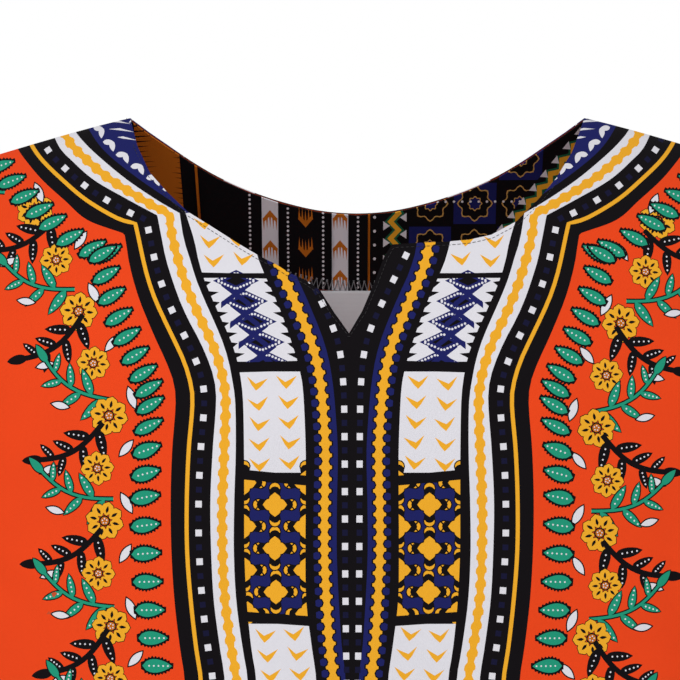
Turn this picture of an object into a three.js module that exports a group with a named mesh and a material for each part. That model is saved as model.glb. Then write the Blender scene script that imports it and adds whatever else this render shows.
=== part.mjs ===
// A dashiki: a loose cotton shirt with short sleeves, a wide round neck and a short slit at the front.
//
// Millimetres, +Z up. The front faces -Y and the wearer's left is +X. The shirt keeps the hollow form it
// has when worn, and its origin is midway between the two neck points, where the shoulders hold it up.
//
// Every panel is a grid of points on one worn surface: columns run from the neck or shoulder to the hem,
// rows run round the body. A wall is that grid, given a thickness inwards and closed along its edges.

import * as THREE from 'three';

// Cloth.
const WALL = 1.2;
const SEAM_GAP = 0.3;

// Shoulders and armholes.
const NECK_HALF = 118;
const SHOULDER_HALF = 225;
const SHOULDER_FALL = Math.tan(THREE.MathUtils.degToRad(17.5));
const RIDGE_TURN_X = 100;        // where the line of the shoulders starts to fall
const RIDGE_TURN_WIDTH = 40;
const UNDERARM_Z = -235;
const ARMHOLE_HALF_DEPTH = 56;

// Body.
const HEM_Z = -790;
const SECTION_POWER = 2.3;       // 2 is an ellipse, more is squarer
const SHOULDER_POWER = 0.8;      // how fast the front and back leave the shoulder line
const FRONT_RISE = 200;          // height from the shoulder line down to the full depth
const BACK_RISE = 170;

// Neck. The slit's two flaps don't hang alike, so the front neck has its own outline on each side.
const FACING_HALF_WIDTH = 150;
const LABEL = { left: -22, right: 12, length: 45, thickness: 1, droop: 5, gap: 1, clearance: 1.2 };

// Sleeves.
const SLEEVE_ANGLE = THREE.MathUtils.degToRad(50);    // below the horizontal
const CUFF = { x: 331, z: -262, halfHeight: 66, halfDepth: 70 };

// Half widths and half depths of the body, from the shoulders to the hem.
const BODY_SECTIONS = [
  { z: 40, edge: 225, front: 118, back: 112 },
  { z: -31, edge: 225, front: 118, back: 112 },
  { z: -90, edge: 217, front: 118, back: 112 },
  { z: -145, edge: 215, front: 118, back: 112 },
  { z: -195, edge: 225, front: 118, back: 112 },
  { z: -235, edge: 240, front: 118, back: 112 },
  { z: -300, edge: 240, front: 117, back: 111 },
  { z: -500, edge: 245, front: 118, back: 112 },
  { z: -790, edge: 258, front: 126, back: 120 },
];

const FRONT_NECK = [
  { x: -118, z: 0 }, { x: -113, z: -16 }, { x: -106, z: -30 }, { x: -97, z: -40 }, { x: -86, z: -50.5 },
  { x: -74, z: -58 }, { x: -60, z: -67 }, { x: -49, z: -73.5 }, { x: -41, z: -77.5 }, { x: -34, z: -82 },
  { x: -26, z: -85.5 }, { x: -19, z: -90.5 }, { x: -12, z: -101.5 }, { x: -4.5, z: -112 }, { x: 2, z: -101 },
  { x: 8, z: -87 }, { x: 13, z: -74 }, { x: 17, z: -67.5 }, { x: 24, z: -67 }, { x: 34, z: -66.5 },
  { x: 45, z: -66 }, { x: 56, z: -65 }, { x: 67, z: -62.5 }, { x: 80, z: -55.5 }, { x: 92, z: -43.5 },
  { x: 101, z: -33 }, { x: 110, z: -19 }, { x: 118, z: 0 },
];

const BACK_NECK = [
  { x: -118, z: 0 }, { x: -109, z: -6.5 }, { x: -100, z: -12.5 }, { x: -88, z: -20.5 }, { x: -74, z: -28.5 },
  { x: -58, z: -35.5 }, { x: -40, z: -41.5 }, { x: -20, z: -46 }, { x: 0, z: -47.5 }, { x: 20, z: -46 },
  { x: 40, z: -41.5 }, { x: 58, z: -35.5 }, { x: 74, z: -28.5 }, { x: 88, z: -20.5 }, { x: 100, z: -12.5 },
  { x: 109, z: -6.5 }, { x: 118, z: 0 },
];

// Soft folds that hang from the chest and the shoulder blades and open out towards the hem.
const FRONT_FOLDS = [
  { x: -168, width: 30, depth: 7, top: -190 },
  { x: -105, width: 26, depth: -4, top: -330 },
  { x: -30, width: 40, depth: 5, top: -420 },
  { x: 62, width: 34, depth: -5, top: -360 },
  { x: 128, width: 30, depth: 6, top: -280 },
  { x: 182, width: 24, depth: -5, top: -210 },
];

const BACK_FOLDS = [
  { x: -150, width: 32, depth: 8, top: -240 },
  { x: -70, width: 36, depth: -5, top: -340 },
  { x: 10, width: 42, depth: 6, top: -300 },
  { x: 90, width: 32, depth: -5, top: -380 },
  { x: 160, width: 28, depth: 7, top: -250 },
];

// Heights of the rows, as fractions of the way from the top edge to the hem. The facings take the first
// four steps, and the armhole ends at the row of the underarm.
const FACING_ROWS = 4;
const UNDERARM_ROW = 12;
const HEM_ROWS = 9;
const FACING_FRACTION = 0.055;

const SIDES = {
  front: { sign: -1, rise: FRONT_RISE, folds: FRONT_FOLDS, neck: FRONT_NECK },
  back: { sign: 1, rise: BACK_RISE, folds: BACK_FOLDS, neck: BACK_NECK },
};

/** A smooth value of one column of a table whose rows go downwards. */
function smoothValue(rows, column, z) {
  const last = rows.length - 2;
  let i = 0;
  while (i < last && z < rows[i + 1].z) i += 1;
  const slope = (k) => {
    const a = rows[Math.max(k - 1, 0)];
    const b = rows[Math.min(k + 1, rows.length - 1)];
    return (b[column] - a[column]) / (b.z - a.z);
  };
  const step = rows[i + 1].z - rows[i].z;
  const t = THREE.MathUtils.clamp((z - rows[i].z) / step, 0, 1);
  const start = rows[i][column];
  const end = rows[i + 1][column];
  return start * (1 + 2 * t) * (1 - t) ** 2 + end * t * t * (3 - 2 * t)
    + step * (slope(i) * t * (1 - t) ** 2 - slope(i + 1) * t * t * (1 - t));
}

/** How far out along the falling shoulder line a place is. */
function shoulderReach(x) {
  const beyond = Math.abs(x) - RIDGE_TURN_X;
  return (beyond + Math.hypot(beyond, RIDGE_TURN_WIDTH)) / 2;
}

/** Height of the line where the front and the back meet, over the shoulders. */
function ridge(x) {
  return -SHOULDER_FALL * (shoulderReach(x) - shoulderReach(NECK_HALF));
}

/** Share of the full depth reached at a distance below the ridge. */
function rising(below, rise) {
  const left = 1 - THREE.MathUtils.clamp(below / rise, 0, 1);
  return (1 - left * left) ** SHOULDER_POWER;
}

const edgeHalfWidth = (z) => smoothValue(BODY_SECTIONS, 'edge', z);

/** Half width at which the section at this height would close, were it not cut off by the armhole. */
function closingHalfWidth(side, z) {
  const edge = edgeHalfWidth(z);
  const tip = ridge(SHOULDER_HALF);
  const drop = tip - UNDERARM_Z;
  const t = THREE.MathUtils.clamp((tip - z) / drop, 0.03, 1);
  const armhole = ARMHOLE_HALF_DEPTH * (4 * t * (1 - t)) ** SHOULDER_POWER;
  const full = smoothValue(BODY_SECTIONS, side === SIDES.front ? 'front' : 'back', z);
  const share = armhole / (full * rising(t * drop, side.rise));
  return edge / (1 - share ** SECTION_POWER) ** (1 / SECTION_POWER);
}

/** How far a fold table moves the cloth outwards, which grows from nothing at each fold's top. */
function foldHeight(folds, x, z) {
  let height = 0;
  for (const fold of folds) {
    const growth = THREE.MathUtils.smoothstep(fold.top - z, 0, fold.top - HEM_Z);
    height += fold.depth * growth * Math.exp(-(((x - fold.x) / fold.width) ** 2));
  }
  return height;
}

/** Distance of the outer face of the front or back from the plane through the side seams. */
function depthAt(side, x, z) {
  const across = Math.min(Math.abs(x) / closingHalfWidth(side, z), 1);
  const full = smoothValue(BODY_SECTIONS, side === SIDES.front ? 'front' : 'back', z);
  const round = (1 - across ** SECTION_POWER) ** (1 / SECTION_POWER);
  const fold = foldHeight(side.folds, x, z) * Math.sqrt(1 - across);
  return full * round * rising(ridge(x) - z, side.rise) + fold;
}

/** A point of the worn surface, moved inwards by some depth of cloth, and kept on its own side. */
function clothPoint(side, x, z, inwards) {
  const step = 0.5;
  const depth = depthAt(side, x, z);
  const toCentre = x > 0 ? -step : step;
  const slopeX = (depthAt(side, x + toCentre, z) - depth) / toCentre;
  const slopeZ = (depth - depthAt(side, x, z - step)) / step;
  const normal = new THREE.Vector3(-slopeX, 1, -slopeZ).normalize();
  const y = Math.max(depth - normal.y * inwards, SEAM_GAP / 2);
  return new THREE.Vector3(x - normal.x * inwards, side.sign * y, z - normal.z * inwards);
}

/** Fractions of the way down at which the rows lie. */
function rowFractions() {
  const tip = ridge(SHOULDER_HALF);
  const underarm = (UNDERARM_Z - tip) / (HEM_Z - tip);
  const fractions = [];
  for (let i = 0; i <= FACING_ROWS; i += 1) fractions.push((FACING_FRACTION * i) / FACING_ROWS);
  const armholeRows = UNDERARM_ROW - FACING_ROWS;
  for (let i = 1; i <= armholeRows; i += 1) {
    const eased = Math.sin((Math.PI / 2) * (i / armholeRows));
    const share = 0.5 * eased + (0.5 * i) / armholeRows;
    fractions.push(FACING_FRACTION + (underarm - FACING_FRACTION) * share);
  }
  for (let i = 1; i <= HEM_ROWS; i += 1) fractions.push(underarm + (1 - underarm) * (i / HEM_ROWS));
  return fractions;
}

/** Angle across the panel, in quarter turns, at which a place on its top edge lies. */
function columnAngle(x, z) {
  return Math.asin(THREE.MathUtils.clamp(x / edgeHalfWidth(z), -1, 1));
}

/** The columns of a panel: one at each place of the neck table, then even steps along each shoulder. */
function panelColumns(side, shoulderColumns) {
  const columns = side.neck.map(({ x, z }) => ({ angle: columnAngle(x, z), top: z }));
  const neckAngle = columnAngle(NECK_HALF, 0);
  for (let i = 1; i <= shoulderColumns; i += 1) {
    const angle = neckAngle + (Math.PI / 2 - neckAngle) * (i / shoulderColumns);
    const top = ridge(SHOULDER_HALF * Math.sin(angle));
    columns.push({ angle, top });
    columns.unshift({ angle: -angle, top });
  }
  return columns;
}

/** Where a row meets a column, as seen from the front. */
function gridPlace(column, fraction) {
  const z = column.top + (HEM_Z - column.top) * fraction;
  return { x: edgeHalfWidth(z) * Math.sin(column.angle), z };
}

/** Places of a panel, a row at a time. */
function panelPlaces(side, shoulderColumns) {
  const columns = panelColumns(side, shoulderColumns);
  return rowFractions().map((fraction) => columns.map((column) => gridPlace(column, fraction)));
}

/** A closed wall between an outer and an inner grid of points, which may run all the way round. */
function wallGeometry(outer, inner, closed = false) {
  const rows = outer.length;
  const columns = outer[0].length;
  const positions = [...outer.flat(), ...inner.flat()].flatMap((point) => point.toArray());
  const index = [];
  const at = (layer, row, column) => layer * rows * columns + row * columns + (column % columns);
  const quad = (a, b, c, d) => index.push(a, b, c, a, c, d);
  const spans = closed ? columns : columns - 1;
  for (let r = 0; r < rows - 1; r += 1) {
    for (let c = 0; c < spans; c += 1) {
      quad(at(0, r, c), at(0, r + 1, c), at(0, r + 1, c + 1), at(0, r, c + 1));
      quad(at(1, r, c), at(1, r, c + 1), at(1, r + 1, c + 1), at(1, r + 1, c));
    }
  }
  for (let c = 0; c < spans; c += 1) {
    quad(at(0, 0, c), at(0, 0, c + 1), at(1, 0, c + 1), at(1, 0, c));
    quad(at(0, rows - 1, c), at(1, rows - 1, c), at(1, rows - 1, c + 1), at(0, rows - 1, c + 1));
  }
  for (let r = 0; r < rows - 1 && !closed; r += 1) {
    quad(at(0, r, 0), at(1, r, 0), at(1, r + 1, 0), at(0, r + 1, 0));
    quad(at(0, r, columns - 1), at(0, r + 1, columns - 1), at(1, r + 1, columns - 1), at(1, r, columns - 1));
  }
  const geometry = new THREE.BufferGeometry();
  geometry.setAttribute('position', new THREE.Float32BufferAttribute(positions, 3));
  geometry.setIndex(index);
  return geometry;
}

/** A wall on the worn surface, from its places and the depth at which its outer face lies. */
function clothWall(side, places, outerDepth) {
  const layer = (depth) => places.map((row) => {
    const points = row.map(({ x, z }) => clothPoint(side, x, z, depth));
    return side === SIDES.front ? points : points.reverse();
  });
  return wallGeometry(layer(outerDepth), layer(outerDepth + WALL));
}

/** A facing lies inside the neck of a panel, on the panel's own places. */
function facingWall(side, places) {
  const keep = places[0].map(({ x }) => Math.abs(x) <= FACING_HALF_WIDTH);
  const rows = places.slice(0, FACING_ROWS + 1);
  const band = rows.map((row) => row.filter((_, column) => keep[column]));
  return clothWall(side, band, WALL + SEAM_GAP);
}

/** The label hangs straight down from the lower edge of the back facing. */
function labelWall() {
  const { left, right, length, thickness, droop, gap, clearance } = LABEL;
  const side = SIDES.back;
  const middle = (left + right) / 2;
  const neck = BACK_NECK[(BACK_NECK.length - 1) / 2].z;
  const top = neck + (HEM_Z - neck) * FACING_FRACTION - gap;
  const y = depthAt(side, middle, top) - 2 * WALL - SEAM_GAP - clearance;
  const columns = 4;
  const rows = 5;
  const layer = (inwards) => {
    const points = [];
    for (let r = 0; r <= rows; r += 1) {
      const down = r / rows;
      const row = [];
      for (let c = 0; c <= columns; c += 1) {
        const x = right + (left - right) * (c / columns);
        const bow = droop * down * down * (0.4 + 0.6 * Math.cos((Math.PI * (x - middle)) / (right - left)));
        row.push(new THREE.Vector3(x, y + bow - inwards, top - length * down));
      }
      points.push(row);
    }
    return points;
  };
  return wallGeometry(layer(0), layer(thickness));
}

/** The sleeve starts on the armhole's own points and ends in an oval cuff. */
function sleeveWall(frontPlaces, backPlaces, handed) {
  const edgePoint = (side, row) => {
    const { x, z } = row[row.length - 1];
    return clothPoint(side, x, z, 0).setX(x + SEAM_GAP);
  };
  const front = frontPlaces.slice(0, UNDERARM_ROW + 1).map((row) => edgePoint(SIDES.front, row));
  const back = backPlaces.slice(0, UNDERARM_ROW + 1).map((row) => edgePoint(SIDES.back, row));
  front[0].setY(0);
  front[UNDERARM_ROW].setY(0);
  const ring = [...front, ...back.slice(1, UNDERARM_ROW).reverse()];

  const lengths = [0];
  for (let i = 1; i <= ring.length; i += 1) {
    lengths.push(lengths[i - 1] + ring[i - 1].distanceTo(ring[i % ring.length]));
  }
  const along = new THREE.Vector3(Math.cos(SLEEVE_ANGLE), 0, -Math.sin(SLEEVE_ANGLE));
  const across = new THREE.Vector3(Math.sin(SLEEVE_ANGLE), 0, Math.cos(SLEEVE_ANGLE));
  const topStart = new THREE.Vector3(1, 0, -SHOULDER_FALL).normalize();
  const lowStart = new THREE.Vector3(0.55, 0, -1).normalize();
  const centre = new THREE.Vector3(CUFF.x, 0, CUFF.z);

  const steps = 11;
  const curves = ring.map((start, i) => {
    const turn = (2 * Math.PI * lengths[i]) / lengths[ring.length];
    const end = centre.clone()
      .addScaledVector(across, CUFF.halfHeight * Math.cos(turn))
      .add(new THREE.Vector3(0, -CUFF.halfDepth * Math.sin(turn), 0));
    const third = start.distanceTo(end) / 3;
    const heading = topStart.clone().lerp(lowStart, (1 - Math.cos(turn)) / 2).normalize();
    const leave = start.clone().addScaledVector(heading, third);
    const arrive = end.clone().addScaledVector(along, -third);
    return new THREE.CubicBezierCurve3(start, leave, arrive, end);
  });
  const outer = [];
  for (let s = 0; s <= steps; s += 1) outer.push(curves.map((curve) => curve.getPoint(s / steps)));
  const inner = outer.map((row, s) => row.map((point, c) => {
    const before = outer[Math.max(s - 1, 0)][c];
    const after = outer[Math.min(s + 1, steps)][c];
    const left = row[(c + row.length - 1) % row.length];
    const right = row[(c + 1) % row.length];
    const normal = after.clone().sub(before).cross(right.clone().sub(left)).normalize();
    const moved = point.clone().addScaledVector(normal, -WALL);
    return s === 0 ? moved.setX(point.x) : moved;
  }));
  const place = (rows) => rows.map((row) => {
    const points = row.map((point) => point.clone().setX(handed * point.x));
    return handed > 0 ? points : points.reverse();
  });
  return wallGeometry(place(outer), place(inner), true);
}

function mesh(name, geometry, color, roughness) {
  const material = new THREE.MeshStandardMaterial({ color, roughness, metalness: 0 });
  const piece = new THREE.Mesh(geometry, material);
  piece.name = name;
  return piece;
}

const ORANGE = 0xec4114;
const BLACK = 0x17131a;
const WHITE = 0xe9e7ec;
const SHOULDER_COLUMNS = 7;

const frontPlaces = panelPlaces(SIDES.front, SHOULDER_COLUMNS);
const backPlaces = panelPlaces(SIDES.back, SHOULDER_COLUMNS);

const shirt = new THREE.Group();
shirt.add(
  mesh('front_panel', clothWall(SIDES.front, frontPlaces, 0), ORANGE, 0.85),
  mesh('back_panel', clothWall(SIDES.back, backPlaces, 0), ORANGE, 0.85),
  mesh('sleeve_left', sleeveWall(frontPlaces, backPlaces, 1), ORANGE, 0.85),
  mesh('sleeve_right', sleeveWall(frontPlaces, backPlaces, -1), ORANGE, 0.85),
  mesh('front_neck_facing', facingWall(SIDES.front, frontPlaces), BLACK, 0.85),
  mesh('back_neck_facing', facingWall(SIDES.back, backPlaces), BLACK, 0.85),
  mesh('care_label', labelWall(), WHITE, 0.55),
);

export default shirt;
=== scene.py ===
"""A dashiki: a printed cotton shirt in the hollow form it has when worn, with no wearer.

Sizes are in millimetres until a mesh is made. x runs to the wearer's left, z up, and the front faces -y.
A place on a panel is (q, z). Near the middle q is x, and past SIDE_FROM it follows the cloth round the side.
The print is cut into each panel: every printed edge is an edge of the mesh, and each face has one ink.
"""

import math

import bpy
import numpy as np
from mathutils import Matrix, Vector
from mathutils.geometry import delaunay_2d_cdt


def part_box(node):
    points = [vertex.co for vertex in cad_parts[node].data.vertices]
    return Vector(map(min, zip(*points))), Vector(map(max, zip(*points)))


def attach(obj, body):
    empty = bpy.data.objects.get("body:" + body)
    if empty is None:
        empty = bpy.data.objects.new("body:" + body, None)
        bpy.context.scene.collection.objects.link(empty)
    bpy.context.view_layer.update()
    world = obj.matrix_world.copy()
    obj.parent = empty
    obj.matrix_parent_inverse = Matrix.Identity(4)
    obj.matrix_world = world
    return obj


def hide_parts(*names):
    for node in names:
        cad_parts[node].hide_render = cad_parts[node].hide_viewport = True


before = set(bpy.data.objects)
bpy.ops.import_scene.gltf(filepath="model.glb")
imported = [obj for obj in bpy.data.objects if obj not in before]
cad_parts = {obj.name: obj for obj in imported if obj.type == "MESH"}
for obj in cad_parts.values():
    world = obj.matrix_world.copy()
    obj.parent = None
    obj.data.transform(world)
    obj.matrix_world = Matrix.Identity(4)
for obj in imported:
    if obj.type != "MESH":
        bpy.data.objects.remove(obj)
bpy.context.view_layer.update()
MM = 0.001

# ---------------------------------------------------------------- the cut, as in the part's construction

CLOTH = 0.7
SEAM_GAP = 0.12
FACING_DEPTH = 1.6
NECK_HALF = 118.0
SHOULDER_HALF = 225.0
SHOULDER_FALL = math.tan(math.radians(17.5))
RIDGE_TURN_X = 100.0
RIDGE_TURN_WIDTH = 40.0
UNDERARM_Z = -235.0
ARMHOLE_HALF_DEPTH = 56.0
HEM_Z = -790.0
SECTION_POWER = 2.3
SHOULDER_POWER = 0.8
FACING_HALF_WIDTH = 146.0
FACING_FRACTION = 0.055
SIDE_FROM = 170.0

BODY_SECTIONS = [
    dict(z=40, edge=225, front=118, back=112),
    dict(z=-31, edge=225, front=118, back=112),
    dict(z=-90, edge=217, front=118, back=112),
    dict(z=-145, edge=215, front=118, back=112),
    dict(z=-195, edge=225, front=118, back=112),
    dict(z=-235, edge=240, front=118, back=112),
    dict(z=-300, edge=240, front=117, back=111),
    dict(z=-500, edge=245, front=118, back=112),
    dict(z=-790, edge=258, front=126, back=120),
]

FRONT_NECK = [
    (-118, 0), (-113, -16), (-106, -30), (-97, -40), (-86, -50.5), (-74, -58), (-60, -67), (-49, -73.5),
    (-41, -77.5), (-34, -82), (-26, -85.5), (-19, -90.5), (-12, -101.5), (-4.5, -112), (2, -101), (8, -87),
    (13, -74), (17, -67.5), (24, -67), (34, -66.5), (45, -66), (56, -65), (67, -62.5), (80, -55.5),
    (92, -43.5), (101, -33), (110, -19), (118, 0),
]
BACK_NECK_HALF = [
    (0, -47.5), (20, -46), (40, -41.5), (58, -35.5), (74, -28.5),
    (88, -20.5), (100, -12.5), (109, -6.5), (118, 0),
]
BACK_NECK = [(-x, z) for x, z in BACK_NECK_HALF[:0:-1]] + BACK_NECK_HALF

FRONT_FOLDS = [
    dict(x=-168, width=30, depth=7, top=-190),
    dict(x=-105, width=26, depth=-4, top=-330),
    dict(x=-30, width=40, depth=5, top=-420),
    dict(x=62, width=34, depth=-5, top=-360),
    dict(x=128, width=30, depth=6, top=-280),
    dict(x=182, width=24, depth=-5, top=-210),
]
BACK_FOLDS = [
    dict(x=-150, width=32, depth=8, top=-240),
    dict(x=-70, width=36, depth=-5, top=-340),
    dict(x=10, width=42, depth=6, top=-300),
    dict(x=90, width=32, depth=-5, top=-380),
    dict(x=160, width=28, depth=7, top=-250),
]

# Soft creases, each a trough (negative) or a ridge along a line that fades at both ends.
FRONT_CREASES = [
    dict(start=(-138, -176), end=(-172, -330), width=7, depth=-3.4),
    dict(start=(-150, -196), end=(-188, -392), width=10, depth=3.6),
    dict(start=(150, -170), end=(172, -352), width=8, depth=-3.0),
    dict(start=(164, -150), end=(190, -300), width=9, depth=2.6),
    dict(start=(-206, -214), end=(-150, -262), width=9, depth=-3.4),
    dict(start=(208, -210), end=(158, -286), width=10, depth=-3.6),
    dict(start=(-128, -4), end=(-112, -52), width=6, depth=-1.2),
    dict(start=(130, -6), end=(112, -56), width=7, depth=-1.4),
    dict(start=(-60, -200), end=(-78, -420), width=16, depth=-1.6),
    dict(start=(52, -240), end=(70, -460), width=18, depth=-1.8),
    dict(start=(-6, -118), end=(4, -230), width=13, depth=-0.9),
]
BACK_CREASES = [
    dict(start=(-206, -210), end=(-140, -300), width=11, depth=-3.6),
    dict(start=(204, -206), end=(132, -270), width=10, depth=-3.2),
    dict(start=(-176, -190), end=(-168, -372), width=11, depth=2.8),
    dict(start=(170, -196), end=(160, -392), width=12, depth=2.6),
    dict(start=(-52, -70), end=(-66, -240), width=18, depth=-1.6),
    dict(start=(48, -84), end=(72, -300), width=20, depth=-1.8),
    dict(start=(-126, -8), end=(-92, -60), width=8, depth=-1.2),
]

SIDES = {
    "front": dict(sign=-1, rise=200.0, folds=FRONT_FOLDS, creases=FRONT_CREASES, neck=FRONT_NECK),
    "back": dict(sign=1, rise=170.0, folds=BACK_FOLDS, creases=BACK_CREASES, neck=BACK_NECK),
}


def smooth_value(rows, column, z):
    """A smooth value of one column of a table whose rows go downwards."""
    heights = np.array([row["z"] for row in rows], float)
    values = np.array([row[column] for row in rows], float)
    last = len(rows) - 1
    before = np.maximum(np.arange(last + 1) - 1, 0)
    after = np.minimum(np.arange(last + 1) + 1, last)
    slopes = (values[after] - values[before]) / (heights[after] - heights[before])
    i = np.clip(np.searchsorted(-heights, -np.asarray(z, float), side="right") - 1, 0, last - 1)
    step = heights[i + 1] - heights[i]
    t = np.clip((z - heights[i]) / step, 0, 1)
    return (
        values[i] * (1 + 2 * t) * (1 - t) ** 2
        + values[i + 1] * t * t * (3 - 2 * t)
        + step * (slopes[i] * t * (1 - t) ** 2 - slopes[i + 1] * t * t * (1 - t))
    )


def shoulder_reach(x):
    beyond = np.abs(x) - RIDGE_TURN_X
    return (beyond + np.hypot(beyond, RIDGE_TURN_WIDTH)) / 2


def ridge(x):
    """Height of the line over the shoulders, where the front and the back meet."""
    return -SHOULDER_FALL * (shoulder_reach(x) - shoulder_reach(NECK_HALF))


def rising(below, rise):
    left = 1 - np.clip(below / rise, 0, 1)
    return (1 - left * left) ** SHOULDER_POWER


def edge_half_width(z):
    return smooth_value(BODY_SECTIONS, "edge", z)


def closing_half_width(side, z):
    """Half width at which a section would close, were it not cut off by the armhole."""
    tip = ridge(SHOULDER_HALF)
    drop = tip - UNDERARM_Z
    t = np.clip((tip - z) / drop, 0.03, 1)
    armhole = ARMHOLE_HALF_DEPTH * (4 * t * (1 - t)) ** SHOULDER_POWER
    share = armhole / (smooth_value(BODY_SECTIONS, side, z) * rising(t * drop, SIDES[side]["rise"]))
    return edge_half_width(z) / (1 - share**SECTION_POWER) ** (1 / SECTION_POWER)


def fold_height(side, x, z):
    height = np.zeros(np.broadcast(x, z).shape)
    for fold in SIDES[side]["folds"]:
        t = np.clip((fold["top"] - z) / (fold["top"] - HEM_Z), 0, 1)
        growth = t * t * (3 - 2 * t)
        height = height + fold["depth"] * growth * np.exp(-(((x - fold["x"]) / fold["width"]) ** 2))
    return height


def crease_height(side, x, z):
    height = np.zeros(np.broadcast(x, z).shape)
    for crease in SIDES[side]["creases"]:
        start = np.array(crease["start"], float)
        run = np.array(crease["end"], float) - start
        length = np.hypot(*run)
        along = ((x - start[0]) * run[0] + (z - start[1]) * run[1]) / length**2
        away = ((x - start[0]) * run[1] - (z - start[1]) * run[0]) / length
        fade = np.sin(math.pi * np.clip(along, 0, 1)) ** 1.5
        height = height + crease["depth"] * fade * np.exp(-((away / crease["width"]) ** 2))
    return height


def section_round(side, x, z):
    across = np.minimum(np.abs(x) / closing_half_width(side, z), 1)
    return across, (1 - across**SECTION_POWER) ** (1 / SECTION_POWER)


def depth_at(side, x, z):
    """Distance of the outer face from the plane through the side seams."""
    across, around = section_round(side, x, z)
    folds = (fold_height(side, x, z) + crease_height(side, x, z)) * np.sqrt(1 - across)
    full = smooth_value(BODY_SECTIONS, side, z) * around
    return full * rising(ridge(x) - z, SIDES[side]["rise"]) + folds


class SideRun:
    """Distances along the cloth round the side of a panel, from x = SIDE_FROM to its edge."""

    def __init__(self, side):
        self.heights = np.arange(40.0, HEM_Z - 20, -10.0)
        self.turns = np.linspace(0, 1, 65)
        z = self.heights[:, None]
        self.first = np.arcsin(SIDE_FROM / edge_half_width(self.heights))
        angle = self.first[:, None] + (math.pi / 2 - self.first[:, None]) * self.turns
        x = edge_half_width(z) * np.sin(angle)
        y = smooth_value(BODY_SECTIONS, side, z) * section_round(side, x, z)[1]
        steps = np.hypot(np.diff(x, axis=1), np.diff(y, axis=1))
        self.runs = np.hstack([np.zeros((len(z), 1)), np.cumsum(steps, axis=1)])

    def row(self, z):
        place = np.clip((self.heights[0] - z) / 10.0, 0, len(self.heights) - 1.001)
        low = place.astype(int)
        return low, place - low

    def length(self, z):
        low, part = self.row(np.asarray(z, float))
        return self.runs[low, -1] * (1 - part) + self.runs[low + 1, -1] * part

    def turn_of_run(self, run, z):
        """Share of the angle round the side at which a run along the cloth ends."""
        low, part = self.row(z)
        found = np.zeros(len(run))
        for row, weight in ((low, 1 - part), (low + 1, part)):
            for k in np.unique(row):
                mine = row == k
                share = run[mine] / self.length(z[mine]) * self.runs[k, -1]
                found[mine] += weight[mine] * np.interp(share, self.runs[k], self.turns)
        return found

    def x_of(self, q, z):
        q, z = np.broadcast_arrays(np.asarray(q, float), np.asarray(z, float))
        x = q.copy()
        beyond = np.abs(q) > SIDE_FROM
        if beyond.any():
            heights = z[beyond]
            turn = self.turn_of_run(np.abs(q[beyond]) - SIDE_FROM, heights)
            first = np.arcsin(SIDE_FROM / edge_half_width(heights))
            angle = first + (math.pi / 2 - first) * np.clip(turn, 0, 1)
            x[beyond] = np.sign(q[beyond]) * edge_half_width(heights) * np.sin(angle)
        return x

    def q_of(self, x, z):
        if abs(x) <= SIDE_FROM:
            return x
        k = int(round((self.heights[0] - z) / 10.0))
        first = self.first[k]
        angle = math.asin(min(abs(x) / float(edge_half_width(z)), 1))
        turn = (angle - first) / (math.pi / 2 - first)
        return math.copysign(SIDE_FROM + float(np.interp(turn, self.turns, self.runs[k])), x)


SIDE_RUNS = {side: SideRun(side) for side in SIDES}


def cloth_surface(side, q, z, inwards):
    """Points of the worn surface, moved inwards by some depth, and the outward normals there."""
    step = 0.5
    x = SIDE_RUNS[side].x_of(q, z)
    depth = depth_at(side, x, z)
    inner = np.where(x > 0, -step, step)
    slope_x = (depth_at(side, x + inner, z) - depth) / inner
    slope_z = (depth - depth_at(side, x, z - step)) / step
    normal = np.stack([-slope_x, np.ones_like(x), -slope_z], axis=-1)
    normal /= np.linalg.norm(normal, axis=-1, keepdims=True)
    y = np.maximum(depth - normal[..., 1] * inwards, SEAM_GAP / 2)
    points = np.stack([x - normal[..., 0] * inwards, y, z - normal[..., 2] * inwards], axis=-1)
    flip = np.array([1, SIDES[side]["sign"], 1])
    return points * flip, normal * flip


# ---------------------------------------------------------------- inks and shapes

INKS = {
    "orange": (0.905, 0.068, 0.012),
    "black": (0.0062, 0.0048, 0.0062),
    "white": (0.80, 0.785, 0.84),
    "yellow": (0.93, 0.44, 0.026),
    "navy": (0.014, 0.017, 0.125),
    "dim_navy": (0.009, 0.009, 0.036),
    "teal": (0.018, 0.33, 0.20),
    "green": (0.012, 0.13, 0.06),
    "rust": (0.56, 0.155, 0.012),
    "gold": (0.62, 0.36, 0.10),
    "wrong_side": (0.60, 0.085, 0.03),
    "wrong_black": (0.03, 0.022, 0.024),
}


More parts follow.
